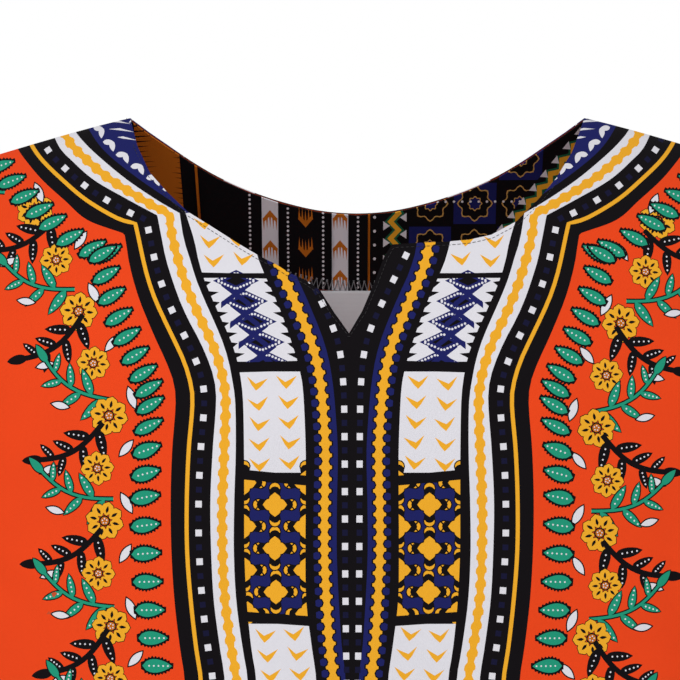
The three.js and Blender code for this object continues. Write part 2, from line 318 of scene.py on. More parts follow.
class Print:
    """Inked shapes on a flat panel, each laid over the ones before it."""

    def __init__(self, outline, ground):
        self.shapes = []
        self.add(outline, ground)

    def add(self, points, ink):
        points = np.asarray(points, float)
        turned = np.roll(points, -1, axis=0)
        area = np.sum(points[:, 0] * turned[:, 1] - turned[:, 0] * points[:, 1])
        self.shapes.append((points if area > 0 else points[::-1], ink))

    def add_motif(self, motif, place):
        for points, ink in motif:
            self.add(place(np.asarray(points, float)), ink)

    def cut(self, spacing):
        """The panel's triangles, with the ink of each."""
        outline = self.shapes[0][0]
        low, high = outline.min(axis=0), outline.max(axis=0)
        rows = np.arange(low[1], high[1], spacing * 0.866)
        grid = [
            (x, z)
            for i, z in enumerate(rows)
            for x in np.arange(low[0] + (i % 2) * spacing / 2, high[0], spacing)
        ]
        vectors, faces = [], []
        for points, _ in self.shapes:
            faces.append(list(range(len(vectors), len(vectors) + len(points))))
            vectors.extend(Vector(point) for point in points)
        vectors.extend(Vector(point) for point in grid)
        cut = delaunay_2d_cdt(vectors, [], faces, 0, 1e-3, True)
        kept = [(face, max(owners)) for face, owners in zip(cut[2], cut[5]) if 0 in owners]
        points = np.array([tuple(point) for point in cut[0]])
        triangles = np.array([face for face, _ in kept])
        inks = [self.shapes[owner][1] for _, owner in kept]
        used, triangles = np.unique(triangles, return_inverse=True)
        return points[used], triangles.reshape(-1, 3), inks


class Path:
    """A line on the flat cloth, along which bands run and motifs are set."""

    def __init__(self, points):
        self.points = np.asarray(points, float)
        steps = np.linalg.norm(np.diff(self.points, axis=0), axis=1)
        self.reach = np.concatenate([[0], np.cumsum(steps)])
        self.length = self.reach[-1]
        tangents = np.gradient(self.points, self.reach, axis=0)
        self.tangents = tangents / np.linalg.norm(tangents, axis=1, keepdims=True)

    def at(self, t):
        point = np.array([np.interp(t, self.reach, self.points[:, i]) for i in (0, 1)])
        tangent = np.array([np.interp(t, self.reach, self.tangents[:, i]) for i in (0, 1)])
        return point, tangent / np.hypot(*tangent)

    def offset(self, across):
        normals = np.stack([-self.tangents[:, 1], self.tangents[:, 0]], axis=1)
        return self.points + normals * across

    def strip(self, low, high):
        """The band between two distances to the left of the line."""
        return np.vstack([self.offset(low), self.offset(high)[::-1]])

    def setter(self, t, across=0.0, turn=0.0, scale=1.0):
        """Sets a motif, drawn with its x along the line, at a place beside the line."""
        point, tangent = self.at(t)
        normal = np.array([-tangent[1], tangent[0]])
        along = tangent * math.cos(turn) + normal * math.sin(turn)
        beside = normal * math.cos(turn) - tangent * math.sin(turn)
        origin = point + normal * across

        def place(points):
            return origin + scale * (points[:, :1] * along + points[:, 1:] * beside)

        return place


def disc(radius, sides=10, centre=(0.0, 0.0), squash=1.0):
    turns = np.arange(sides) * 2 * math.pi / sides
    return np.stack([centre[0] + radius * np.cos(turns), centre[1] + radius * squash * np.sin(turns)], axis=1)


def box_shape(length, width, centre=(0.0, 0.0)):
    a, b = length / 2, width / 2
    return np.array([(-a, -b), (a, -b), (a, b), (-a, b)]) + centre


def set_at(x, z, turn=0.0, scale=1.0, mirror=1):
    """Sets a motif at a place of the flat cloth."""
    c, s = math.cos(turn), math.sin(turn)

    def place(points):
        turned = np.stack([points[:, 0] * c - points[:, 1] * s, points[:, 0] * s + points[:, 1] * c], axis=1)
        return turned * (mirror * scale, scale) + (x, z)

    return place


# ---------------------------------------------------------------- motifs

def leaf_edge(length, width, samples, grow=0.0):
    """Half of a leaf's outline: distance along it, and half width there, from its round end to its point."""
    s = np.linspace(0, 1, samples)
    half = width / 2 * np.sin(math.pi * s**0.78) ** 0.8
    return (s - 0.5) * (length + 2 * grow), half + grow * np.sin(math.pi * s) ** 0.3


def leaf_outline(length, width, grow=0.0, samples=9):
    along, half = leaf_edge(length, width, samples, grow)
    upper = np.stack([along, half], axis=1)
    return np.vstack([upper, np.stack([along, -half], axis=1)[-2:0:-1]])


def fringed_leaf(length, width, dots=5):
    """A leaf with a dark fringe and a row of dots along its rib."""
    body = leaf_outline(length, width)
    dark = leaf_outline(length, width, grow=0.75, samples=11)
    centre = dark.mean(axis=0)
    spikes = []
    for i, point in enumerate(dark):
        following = dark[(i + 1) % len(dark)]
        middle = (point + following) / 2
        outwards = middle - centre
        side = np.array([following[1] - point[1], point[0] - following[0]])
        side *= np.sign(side @ outwards) / (np.hypot(*side) + 1e-9)
        spikes.extend([point, middle + side * (0.85 + 0.25 * (i % 3 == 0))])
    motif = [(np.array(spikes), "black"), (body, "teal")]
    for x in np.linspace(-0.27, 0.36, dots) * length:
        motif.append((disc(0.5, 5, (x, 0)), "white"))
    return motif


def plain_leaf(length, width):
    """A leaf with a dark outline, for the lower part of the shirt."""
    return [
        (leaf_outline(length, width, grow=0.9, samples=7), "black"),
        (leaf_outline(length, width, samples=7), "teal"),
        (box_shape(length * 0.6, 0.8), "white"),
    ]


def lens(length, width, ink="white"):
    """A pointed leaf with a dark outline."""
    motif = []
    for grow, colour in ((0.65, "black"), (0.0, ink)):
        x = np.linspace(-1, 1, 9)
        half = (width / 2 + grow) * (1 - x * x)
        upper = np.stack([x * (length / 2 + grow * 1.6), half], axis=1)
        motif.append((np.vstack([upper, (upper * (1, -1))[-2:0:-1]]), colour))
    return motif


def daisy(radius, petals=8):
    """An open flower with round petals, each with a dark stroke in it."""
    motif = []
    petal = leaf_outline(radius * 0.74, radius * 0.62, samples=6)
    stroke = leaf_outline(radius * 0.40, radius * 0.16, samples=4)
    for grow, ink in ((1.12, "black"), (1.0, "yellow")):
        for k in range(petals):
            place = set_at(0, 0, k * 2 * math.pi / petals)
            motif.append((place(petal * (-grow, grow) + (radius * 0.63, 0)), ink))
    for k in range(petals):
        place = set_at(0, 0, k * 2 * math.pi / petals)
        motif.append((place(stroke + (radius * 0.60, 0)), "black"))
    motif.append((disc(radius * 0.30, 12), "black"))
    motif.append((disc(radius * 0.22, 12), "rust"))
    for k in range(5):
        turn = k * 2 * math.pi / 5
        centre = (radius * 0.12 * math.cos(turn), radius * 0.12 * math.sin(turn))
        motif.append((disc(0.38, 6, centre), "white"))
    return motif


def spray(ink, length, leaflets, dots):
    """A bent stem with leaflets on both sides, each dotted along its rib."""
    def stem(t):
        return np.array([length * 0.16 * math.sin(t * math.pi * 0.9), length * (t - 0.5)])

    line = Path([stem(t) for t in np.linspace(0, 1, 13)])
    leaf_sizes = []
    for k in range(leaflets):
        t = 0.10 + 0.82 * k / leaflets
        side = 1 if k % 2 else -1
        size = length * (0.40 - 0.20 * t)
        leaf_sizes.append((t * line.length, side, size))
    motif = [(line.strip(-1.35, 1.35), "black")]
    for grow, colour in ((0.6, "black"), (0.0, ink)):
        for t, side, size in leaf_sizes:
            shape = leaf_outline(size, size * 0.30, grow, 7) + (size * 0.52, 0)
            motif.append((line.setter(t, 0, side * 0.95)(shape), colour))
        tip = leaf_outline(length * 0.26, length * 0.10, grow) + (length * 0.07, 0)
        motif.append((line.setter(line.length, 0, 0)(tip), colour))
    motif.append((line.strip(-0.7, 0.7), ink))
    for t, side, size in leaf_sizes:
        for share in np.linspace(0.28, 0.84, dots):
            dot = disc(0.5, 5, (size * share, 0))
            motif.append((line.setter(t, 0, side * 0.95)(dot), "white"))
    return motif


def chevron(width, height):
    a, b = width / 2, height / 2
    wing = (0.45 * a, -0.28 * b)
    return np.array([(-a, b), (-wing[0], wing[1]), (0, -b), wing, (a, b), (0.1 * a, 0.04 * b)])


def quatrefoil(size):
    """A flower with four rounded lobes, and a small petal beyond each of them."""
    turns = np.arange(32) * 2 * math.pi / 32
    radius = size * (1 + 0.15 * np.cos(4 * turns) + 0.05 * np.cos(12 * turns))
    body = np.stack([radius * np.cos(turns), radius * np.sin(turns)], axis=1)
    motif = []
    for k in range(4):
        way = np.array([math.cos(k * math.pi / 2), math.sin(k * math.pi / 2)])
        motif.append((disc(0.52 * size + 0.6, 12, way * 1.62 * size), "black"))
        motif.append((disc(0.52 * size, 12, way * 1.62 * size), "yellow"))
        motif.append((disc(0.56 * size, 12, way * 1.24 * size), "black"))
    motif.append((body * (size + 0.75) / size, "black"))
    motif.append((body, "yellow"))
    return motif


def arrow_feather(size, ink):
    """A short arrowhead with a fringe of tails."""
    motif = [(np.array([(-size, 0), (0, size * 1.15), (size, 0), (size * 0.9, -size * 0.5), (0, size * 0.35),
                        (-size * 0.9, -size * 0.5)]), ink)]
    for k in range(5):
        x = (k - 2) * size * 0.42
        top = size * (0.5 - 0.2 * abs(k - 2))
        tail = np.array([(x - size * 0.15, top), (x + size * 0.15, top), (x + size * 0.03, top - size * 1.7)])
        motif.append((tail, ink))
    return motif


# ---------------------------------------------------------------- the border of the front and back

# Half widths of the border's lines from the middle of the front, below its corners.
CHEST_COLUMNS = ("z", "outer", "line", "white_out", "white_in", "panel_out", "panel_in", "wave", "squares")
CHEST_LINES = [
    dict(zip(CHEST_COLUMNS, row))
    for row in (
        (-50, 117.5, 111, 98.8, 87.2, 84.4, 53.0, 42.0, 38.0),
        (-65, 114.0, 107.2, 95.5, 84.4, 79.3, 49.5, 39.0, 31.0),
        (-75, 112.2, 104.8, 93.2, 81.1, 77.0, 46.8, 37.0, 26.0),
        (-85, 109.6, 102.0, 89.9, 77.9, 73.9, 42.6, 33.6, 20.9),
        (-95, 106.3, 98.3, 86.2, 73.7, 69.6, 38.0, 29.0, 15.9),
        (-105, 102.1, 93.6, 81.6, 69.1, 65.0, 34.0, 24.7, 11.2),
        (-115, 97.6, 88.6, 76.1, 64.7, 60.4, 30.5, 20.7, 7.4),
        (-125, 92.8, 83.8, 71.5, 61.4, 57.0, 27.3, 17.7, 5.4),
        (-135, 88.8, 80.4, 68.2, 59.3, 55.0, 24.9, 15.9, 4.5),
        (-145, 87.3, 78.9, 67.2, 57.8, 53.9, 23.9, 14.7, 4.0),
        (-170, 88.9, 80.7, 68.8, 57.4, 53.3, 22.9, 13.1, 3.7),
        (-195, 89.6, 81.6, 69.9, 58.1, 53.2, 22.9, 13.5, 3.6),
        (-220, 89.2, 81.4, 69.5, 58.3, 53.1, 23.0, 13.6, 3.5),
        (-244, 87.7, 79.6, 68.2, 57.1, 52.0, 22.6, 12.6, 3.3),
        (-268, 84.9, 76.9, 65.1, 53.9, 49.6, 19.7, 11.0, 3.0),
        (-282, 82.8, 74.8, 63.0, 51.6, 47.4, 17.8, 9.3, 2.7),
        (-330, 80.5, 72.5, 60.8, 49.6, 45.4, 16.6, 8.9, 2.6),
        (-790, 84.0, 76.0, 64.3, 53.0, 48.6, 18.4, 9.4, 2.7),
    )
]

# The same lines from their corners up to the shoulder seam, and on past it.
SHOULDER_LINES = {
    "outer": [
        (115.6, -61.5), (134, -54.6), (146, -44.5), (158.6, -33.4),
        (168.2, -22.8), (174, -15.5), (180, -6),
    ],
    "line": [
        (109.4, -56.6), (119, -53.6), (135, -44.2), (148, -33.5),
        (159.6, -22.6), (167, -13), (173, -3),
    ],
    "white_out": [
        (98.4, -52.4), (112.8, -44.6), (131.6, -33.7), (144.5, -22.6),
        (150.6, -16.4), (156, -7), (160, 2),
    ],
    "white_in": [
        (86.9, -51.4), (98.7, -44.5), (114.3, -33.9), (127.6, -23.1),
        (137, -14.5), (144.3, -6), (150, 4),
    ],
    "yoke": [
        (84.0, -50.4), (93, -44), (107.6, -34), (121.6, -23.2),
        (130, -15), (137, -5), (142, 5),
    ],
}

BORDER_MIDDLE = -3.0
LINE_WIDTH = 2.0
SQUARE_PITCH = 14.2
WAVE_PITCH = 6.9
CENTRE_WAVE_PITCH = 5.8
CENTRE_SQUARE_PITCH = 13.5
BAR = 4.9
BELOW_CHEST = -320.0

# Blocks of the two panels beside the slit, from the neck downwards. The top edges of the blocks drop towards
# the middle by their tilt.
PANEL_BLOCKS = [
    dict(kind="chevrons", top=-30.0, tilt=0.0, rows=0),
    dict(kind="lattice", top=-84.4, tilt=0.8, rows=0, bar=2.4),
    dict(kind="chevrons", top=-131.0, tilt=-1.0, rows=5),
    dict(kind="quatrefoils", top=-185.6, tilt=3.2, rows=3),
    dict(kind="chevrons", top=-255.2, tilt=2.2, rows=5),
    dict(kind="lattice", top=-309.0, tilt=0.8, rows=0),
    dict(kind="chevrons", top=-355.6, tilt=-1.0, rows=5),
    dict(kind="quatrefoils", top=-410.2, tilt=2.4, rows=3),
    dict(kind="chevrons", top=-479.8, tilt=2.0, rows=5),
    dict(kind="lattice", top=-533.6, tilt=0.8, rows=0),
    dict(kind="chevrons", top=-580.2, tilt=-1.0, rows=5),
    dict(kind="quatrefoils", top=-634.8, tilt=2.4, rows=3),
    dict(kind="chevrons", top=-704.4, tilt=2.0, rows=5),
    dict(kind="lattice", top=-758.2, tilt=0.8, rows=0),
]


def spline(points, step=3.0):
    """A smooth line through a few points."""
    points = np.asarray(points, float)
    padded = np.vstack([2 * points[0] - points[1], points, 2 * points[-1] - points[-2]])
    found = []
    for i in range(1, len(padded) - 2):
        a, b, c, d = padded[i - 1:i + 3]
        count = max(int(np.hypot(*(c - b)) / step), 1)
        for t in np.arange(count) / count:
            found.append(0.5 * (2 * b + (c - a) * t + (2 * a - 5 * b + 4 * c - d) * t * t
                                + (3 * b - a - 3 * c + d) * t**3))
    return np.array(found + [points[-1]])


class Border:
    """One side of the printed border: where its lines run on a panel."""

    def __init__(self, sign):
        self.sign = sign

    def place(self, points):
        points = np.asarray(points, float)
        return points * (self.sign, 1) + (BORDER_MIDDLE, 0)

    def x(self, name, z):
        return smooth_value(CHEST_LINES, name, z)

    def chest(self, name, top, bottom=HEM_Z - 8, step=6.0):
        z = np.append(np.arange(top, bottom, -step), bottom)
        return np.stack([self.x(name, z), z], axis=1)

    def line(self, name):
        """A line of the border from past the shoulder seam down to the hem."""
        shoulder = spline(SHOULDER_LINES[name])[::-1]
        return self.place(np.vstack([shoulder, self.chest(name, shoulder[-1, 1] - 1.0)]))

    def between(self, first, second):
        return np.vstack([first, second[::-1]])


def middle_path(first, second):
    """The line halfway between two lines of the border."""
    samples = 420
    a, b = Path(first), Path(second)
    return Path([(a.at(a.length * t)[0] + b.at(b.length * t)[0]) / 2 for t in np.linspace(0, 1, samples)])


def print_squares(sheet, path, pitch, length, width, start):
    """Light squares along a line, with dim ones between them."""
    for k, t in enumerate(np.arange(start, path.length, pitch / 2)):
        if k % 2:
            sheet.add(path.setter(t)(box_shape(length * 0.85, width * 0.9)), "dim_navy")
        else:
            sheet.add(path.setter(t)(box_shape(length, width)), "white")


def print_white_band(sheet, border, outer, inner):
    """A white band with a yellow ribbon, its edges scalloped by white discs."""
    sheet.add(border.between(outer, inner), "white")
    path = middle_path(outer, inner)
    sheet.add(path.strip(-2.7, 2.7), "yellow")
    for t in np.arange(1.0, path.length, WAVE_PITCH):
        sides = 9 if path.at(t)[0][1] > BELOW_CHEST else 6
        for side, slip in ((1, 0.0), (-1, 0.8)):
            sheet.add(path.setter(t + slip, side * 5.0)(disc(3.5, sides)), "white")


def print_centre_wave(sheet, path, side):
    """A yellow ribbon with dark scallops, and a navy band on the side of the slit."""
    sheet.add(path.strip(-3.1, 3.1), "yellow")
    for t in np.arange(2.0, path.length, CENTRE_WAVE_PITCH):
        sides = 8 if path.at(t)[0][1] > BELOW_CHEST else 5
        for across in (-4.0, 4.0):
            sheet.add(path.setter(t, across)(disc(2.62, sides)), "black")
            sheet.add(path.setter(t, across)(disc(1.95, sides)), "navy")
    sheet.add(path.strip(side * 3.9, side * 6.0), "navy")
    sheet.add(path.strip(-side * 5.5, -side * 7.4), "black")


def panel_point(border, across, z):
    """A place of a panel: across runs from -1 at its outer edge to 1 at its inner one."""
    outer, inner = border.x("panel_out", z), border.x("panel_in", z)
    return outer + (inner - outer) * (across + 1) / 2


def print_chevrons(sheet, border, top, bottom, rows):
    shape = chevron(10.4, 6.6)
    count = rows or 4
    pitch = (top - bottom) / count if rows else 9.6
    first = top - pitch * 0.62 if rows else -47.0
    for k in range(count):
        for column, across in enumerate((-0.50, 0.48)):
            z = first - pitch * k + (0.9 if column else 0.0)
            x = panel_point(border, across, z)
            turn = 0.12 * math.sin(3.7 * k + 2.1 * column + top)
            sheet.add(border.place(set_at(x, z, turn)(shape)), "yellow")


def print_lattice(sheet, border, top, bottom):
    """A column of navy diamonds with dotted edges and dark middles."""
    pitch, half_width, half_height = 10.2, 11.8, 5.6
    middle = (top + bottom) / 2 - 1.0
    for k in range(-2, 3):
        z = middle + k * pitch
        x = panel_point(border, 0.0, z)
        place = set_at(x, z)
        diamond = np.array([(-1, 0), (0, -1), (1, 0), (0, 1)])
        size = (half_width, half_height)
        cross = [(-0.62, 0.55), (0.62, -0.55), (0.62, -0.85), (-0.62, 0.25)]
        for flip in (1, -1):
            crossing = np.array(cross) * (flip * half_width, pitch) + (0, -pitch / 2)
            sheet.add(border.place(place(crossing)), "navy")
        sheet.add(border.place(place(diamond * size * (0.98, 0.98))), "navy")
        sheet.add(border.place(place(diamond * size * (0.44, 0.44))), "black")
        for corner, following in zip(diamond, np.roll(diamond, -1, axis=0)):
            if z < BELOW_CHEST:
                continue
            for t in np.linspace(0.08, 0.92, 6):
                spot = (corner * (1 - t) + following * t) * size * (0.80, 0.72)
                sheet.add(border.place(place(disc(0.66, 6, spot))), "white")


def print_thorns(sheet, border, top, bottom):
    """Dark thorns from the bands at both sides, between the diamonds."""
    pitch = 5.1
    for k in range(8):
        z = top - 3.0 - k * pitch
        for across, reach in ((-1.0, -4.4), (1.0, 4.4)):
            x = panel_point(border, across, z)
            size = reach * (1.0 if k % 2 else 0.6)
            thorn = np.array([(x - size * 0.3, z - 1.9), (x + size, z + 1.0), (x - size * 0.3, z + 1.5)])
            sheet.add(border.place(thorn), "black")


def print_quatrefoils(sheet, border, top, bottom, rows):
    pitch = 21.5
    middle = (top + bottom) / 2
    flower = quatrefoil(5.0)
    for k in range(-2, 3):
        for across, drop in ((-1.0, 0.5), (1.0, 0.5), (0.0, 0.0)):
            z = middle + (k + drop) * pitch
            if abs(z - middle) > pitch * rows / 2 + 4:
                continue
            x = panel_point(border, across, z)
            sheet.add_motif(flower, lambda points, at=set_at(x, z): border.place(at(points)))
    for k in range(-3, 3):
        for across in (-0.5, 0.5):
            z = middle + (k + 0.5) * pitch / 2 + pitch / 4
            x = panel_point(border, across, z)
            for turn in (0.9, -0.9):
                sheet.add(border.place(set_at(x, z, turn)(box_shape(6.4, 0.7))), "black")


def print_panel(sheet, border):
    """The blocks of one panel, with what overlaps their edges left to be covered."""
    for block, following in zip(PANEL_BLOCKS, PANEL_BLOCKS[1:] + [dict(top=HEM_Z - 6)]):
        top, bottom = block["top"], following["top"] + following.get("bar", BAR)
        z = np.linspace(top, bottom, max(int((top - bottom) / 3), 2))
        edge = np.vstack([
            np.stack([border.x("panel_out", z) + 1.5, z], axis=1),
            np.stack([border.x("panel_in", z) - 1.5, z], axis=1)[::-1],
        ])
        ground = "navy" if block["kind"] == "quatrefoils" else "white"
        sheet.add(border.place(edge), ground)
        if block["kind"] == "chevrons":
            print_chevrons(sheet, border, top, bottom, block["rows"])
        elif block["kind"] == "lattice":
            print_lattice(sheet, border, top, bottom)
        else:
            print_quatrefoils(sheet, border, top, bottom, block["rows"])


def print_bars(sheet, border):
    """Dark bars between the blocks, slightly askew."""
    for block in PANEL_BLOCKS[1:]:
        half = block.get("bar", BAR) / 2
        z, tilt = block["top"] + half, block["tilt"]
        low, high = border.x("panel_in", z) - 2, border.x("panel_out", z) + 2
        bar = [(high, z + tilt / 2 + half), (low, z - tilt / 2 + half),
               (low, z - tilt / 2 - half), (high, z + tilt / 2 - half)]
        sheet.add(border.place(bar), "black")
    for block, following in zip(PANEL_BLOCKS, PANEL_BLOCKS[1:] + [dict(top=HEM_Z - 6)]):
        if block["kind"] == "lattice":
            print_thorns(sheet, border, block["top"], following["top"] + BAR)


def print_yoke(sheet, border, neck):
    """Navy cloth between the border and the neck, with pairs of white petals and a row of dashes."""
    yoke = spline(SHOULDER_LINES["yoke"])
    inner = [(84, -51.4), (70, -50), (96, -10), (110, 14), (142, 14)]
    sheet.add(border.place(np.vstack([yoke, inner[::-1]])), "navy")
    path = Path(border.place(yoke[::-1]))
    petal = leaf_outline(6.2, 3.0, samples=8)
    for t in np.arange(6.0, path.length - 4, 10.5):
        for turn, along in ((0.55, 1.6), (-0.75, -1.6)):
            place = path.setter(t + along, -border.sign * 4.6, turn * border.sign)
            sheet.add(place(petal), "white")
    edge = Path(border.place([(abs(x), z) for x, z in neck if x > 78][::-1]))
    for k, t in enumerate(np.arange(2.5, edge.length - 2, 5.2)):
        place = edge.setter(t, -border.sign * (4.0 + 0.8 * (k % 2)), 1.2 * border.sign)
        sheet.add(place(leaf_outline(4.6 + 1.6 * (k % 3 == 0), 1.7, samples=7)), "white")
    for k in range(3):
        start = np.array([114.0 - 2 * k, -3.5 - 4.6 * k])
        stroke = [start, start + (8, 2.4), start + (17 - 3 * k, 2.0), start + (8, 1.2)]
        sheet.add(border.place(stroke), "white")


def leaf_turn(z):
    """Slope of the leaves beside the border, steep at the chest and level below."""
    return math.radians(float(np.interp(-z, [0, 60, 150, 190, 230, 330], [14, 30, 30, 12, 2, -3])))


def print_leaf_row(sheet, border):
    outer = border.line("outer")
    path = Path(outer)
    t = 4.0
    while t < path.length - 6:
        point, tangent = path.at(t)
        z = point[1]
        on_chest = z < -62
        length, width = (15.4, 5.6) if z > -165 else (14.8, 6.8)
        away = 12.6 if on_chest else 12.2
        outwards = np.array([-tangent[1], tangent[0]]) * border.sign
        centre = point + outwards * away * (1 if outwards[0] * border.sign > 0 else -1)
        turn = leaf_turn(z)
        place = set_at(centre[0], centre[1], 0.0, 1.0)
        motif = fringed_leaf(length, width) if z > BELOW_CHEST else plain_leaf(length, width)
        c, s = math.cos(turn), math.sin(turn)

        def lay(points, place=place, c=c, s=s):
            x, y = points[:, 0] * -border.sign, points[:, 1]
            return place(np.stack([x * c + border.sign * y * s, y * c - border.sign * x * s], axis=1))

        sheet.add_motif(motif, lay)
        t += 10.2 if z > -130 else (13.6 if z < -190 else 11.4)


# Loose flowers and sprays beyond the leaf row, each placed from the border's outer line. No two repeats of
# the row are at quite the same height on the two sides.
FIGURES = [
    dict(kind="spray", ink="teal", away=47, drop=0, turn=-62, size=40),
    dict(kind="daisy", ink="yellow", away=33, drop=-19, turn=10, size=9.6),
    dict(kind="lens", ink="white", away=22, drop=-10, turn=65, size=11),
    dict(kind="spray", ink="black", away=52, drop=-31, turn=-118, size=38),
    dict(kind="daisy", ink="yellow", away=37, drop=-45, turn=0, size=8.4),
    dict(kind="lens", ink="white", away=23, drop=-35, turn=-52, size=10),
    dict(kind="lens", ink="white", away=58, drop=-14, turn=12, size=9),
    dict(kind="lens", ink="white", away=62, drop=-46, turn=-20, size=9),
]
FIGURE_PITCH = 52.0
FIGURES_FROM = -30.0
FIGURES_TO = -295.0


def print_figures(sheet, border):
    kinds = {
        "spray": lambda row: spray(row["ink"], row["size"], 6, 4),
        "daisy": lambda row: daisy(row["size"]),
        "lens": lambda row: lens(row["size"], row["size"] * 0.36),
    }
    motifs = [(row, kinds[row["kind"]](row)) for row in FIGURES]
    repeats = int((FIGURES_FROM - FIGURES_TO) / FIGURE_PITCH) + 1
    for k in range(repeats):
        base = FIGURES_FROM - k * FIGURE_PITCH - (6 if border.sign > 0 else 0)
        for row, motif in motifs:
            z = base + row["drop"]
            outer = border.x("outer", z) if z < -61 else 116 + (z + 61) * 1.05
            x = outer + row["away"]
            turn = math.radians(row["turn"] + 6 * math.sin(2.4 * k + row["away"]))
            place = set_at(x, z, turn)
            sheet.add_motif(motif, lambda points, at=place: border.place(at(points)))


def print_border(sheet, neck):
    sides = [Border(-1), Border(1)]
    for border in sides:
        print_figures(sheet, border)
        print_leaf_row(sheet, border)
    names = [name for name in SHOULDER_LINES if name != "yoke"]
    lines = {border.sign: {name: border.line(name) for name in names} for border in sides}
    sheet.add(np.vstack([lines[-1]["outer"], lines[1]["outer"][::-1]]), "black")
    for border in sides:
        mine = lines[border.sign]
        print_panel(sheet, border)
        print_white_band(sheet, border, mine["white_out"], mine["white_in"])
        print_yoke(sheet, border, neck)
    for border in sides:
        mine = lines[border.sign]
        sheet.add(border.between(mine["outer"], mine["white_out"]), "black")
        shoulder_in = border.place(spline(SHOULDER_LINES["white_in"]))
        sheet.add(border.between(shoulder_in, border.place(spline(SHOULDER_LINES["yoke"]))), "black")
        panel_out = border.place(border.chest("panel_out", -50.0))
        low = border.place(border.chest("white_in", -50.0))
        sheet.add(border.between(low, panel_out), "black")
        panel_in = border.place(border.chest("panel_in", -40.0))
        middle = np.stack([np.full(len(panel_in), BORDER_MIDDLE), panel_in[:, 1]], axis=1)
        sheet.add(border.between(panel_in, middle), "black")
        print_bars(sheet, border)
        sheet.add(Path(mine["line"]).strip(-LINE_WIDTH / 2, LINE_WIDTH / 2), "yellow")
        squares = middle_path(mine["line"], mine["white_out"])
        print_squares(sheet, squares, SQUARE_PITCH, 3.3, 3.2, 5.0)
        wave = Path(border.place(border.chest("wave", -50.0)))
        print_centre_wave(sheet, wave, -border.sign)
        centre = Path(border.place(border.chest("squares", -66.0)))
        print_squares(sheet, centre, CENTRE_SQUARE_PITCH, 3.5, 3.0, 8.0)


# ---------------------------------------------------------------- outlines of the pieces on the flat cloth

def panel_outline(side):
    """The panel's edge on the flat cloth: neck, shoulders, armholes, side seams and hem."""
    run = SIDE_RUNS[side]
    neck = np.array(SIDES[side]["neck"], float)
    fine_neck = spline(neck, 4.0) if side == "back" else neck
    shoulder = np.linspace(NECK_HALF, SHOULDER_HALF, 24)[1:]
    seam = [(run.q_of(x, float(ridge(x))), float(ridge(x))) for x in shoulder]
    heights = np.linspace(float(ridge(SHOULDER_HALF)), HEM_Z, 150)[1:]
    edge = [(SIDE_FROM + float(run.length(z)), z) for z in heights]
    right = np.array(seam + edge)
    hem = np.linspace(right[-1, 0], -right[-1, 0], 90)[1:-1]
    bottom = np.stack([hem, np.full(len(hem), HEM_Z)], axis=1)
    left = right[::-1] * (-1, 1)
    return np.vstack([fine_neck, right, bottom, left])



def facing_outline(side):
    """The facing's edge: the neck, two short ends on the shoulder seams and a lower edge."""
    neck = np.array(SIDES[side]["neck"], float)
    ends = np.linspace(NECK_HALF, FACING_HALF_WIDTH, 8)[1:]
    right = [(x, float(ridge(x))) for x in ends]
    left = [(-x, z) for x, z in right][::-1]
    top = np.vstack([left, neck, right])
    lower = top.copy()
    lower[:, 1] += (HEM_Z - top[:, 1]) * FACING_FRACTION
    return np.vstack([top, lower[::-1]])


# ---------------------------------------------------------------- the facing's print

FACING_STRIPES = [
    dict(x=-57.4, kind="dots"),
    dict(x=-46.6, kind="feathers", ground="white"),
    dict(x=-37.0, kind="dots"),
    dict(x=-27.5, kind="feathers", ground="black"),
    dict(x=-18.1, kind="dots"),
    dict(x=-9.0, kind="feathers", ground="white"),
    dict(x=0.7, kind="dots"),
    dict(x=6.6, kind="line"),
    dict(x=9.6, kind="spots"),
    dict(x=20.5, kind="zigzag"),
]


def print_zigzag(sheet, place, length, width=12.5, pitch=9.0):
    """A yellow zigzag with a green shadow between rows of white triangles, running up the motif's y."""
    half = width / 2
    sheet.add(place(np.array([(-half, 0), (half, 0), (half, length), (-half, length)])), "black")
    steps = np.arange(0, length + pitch, pitch / 2)
    wave = np.array([((-1) ** k * half * 0.34, y) for k, y in enumerate(steps)])
    for low, high, ink in ((-3.3, 2.9, "green"), (-1.9, 1.5, "yellow")):
        band = np.vstack([wave + (low, 0), (wave + (high, 0))[::-1]])
        sheet.add(place(band), ink)
    for k, y in enumerate(np.arange(pitch * 0.25, length, pitch)):
        for side in (-1, 1):
            mid = y + (0 if side < 0 else pitch / 2)
            triangle = [(side * half, mid - 2.4), (side * (half - 3.6), mid), (side * half, mid + 2.4)]
            sheet.add(place(np.array(triangle)), "white")


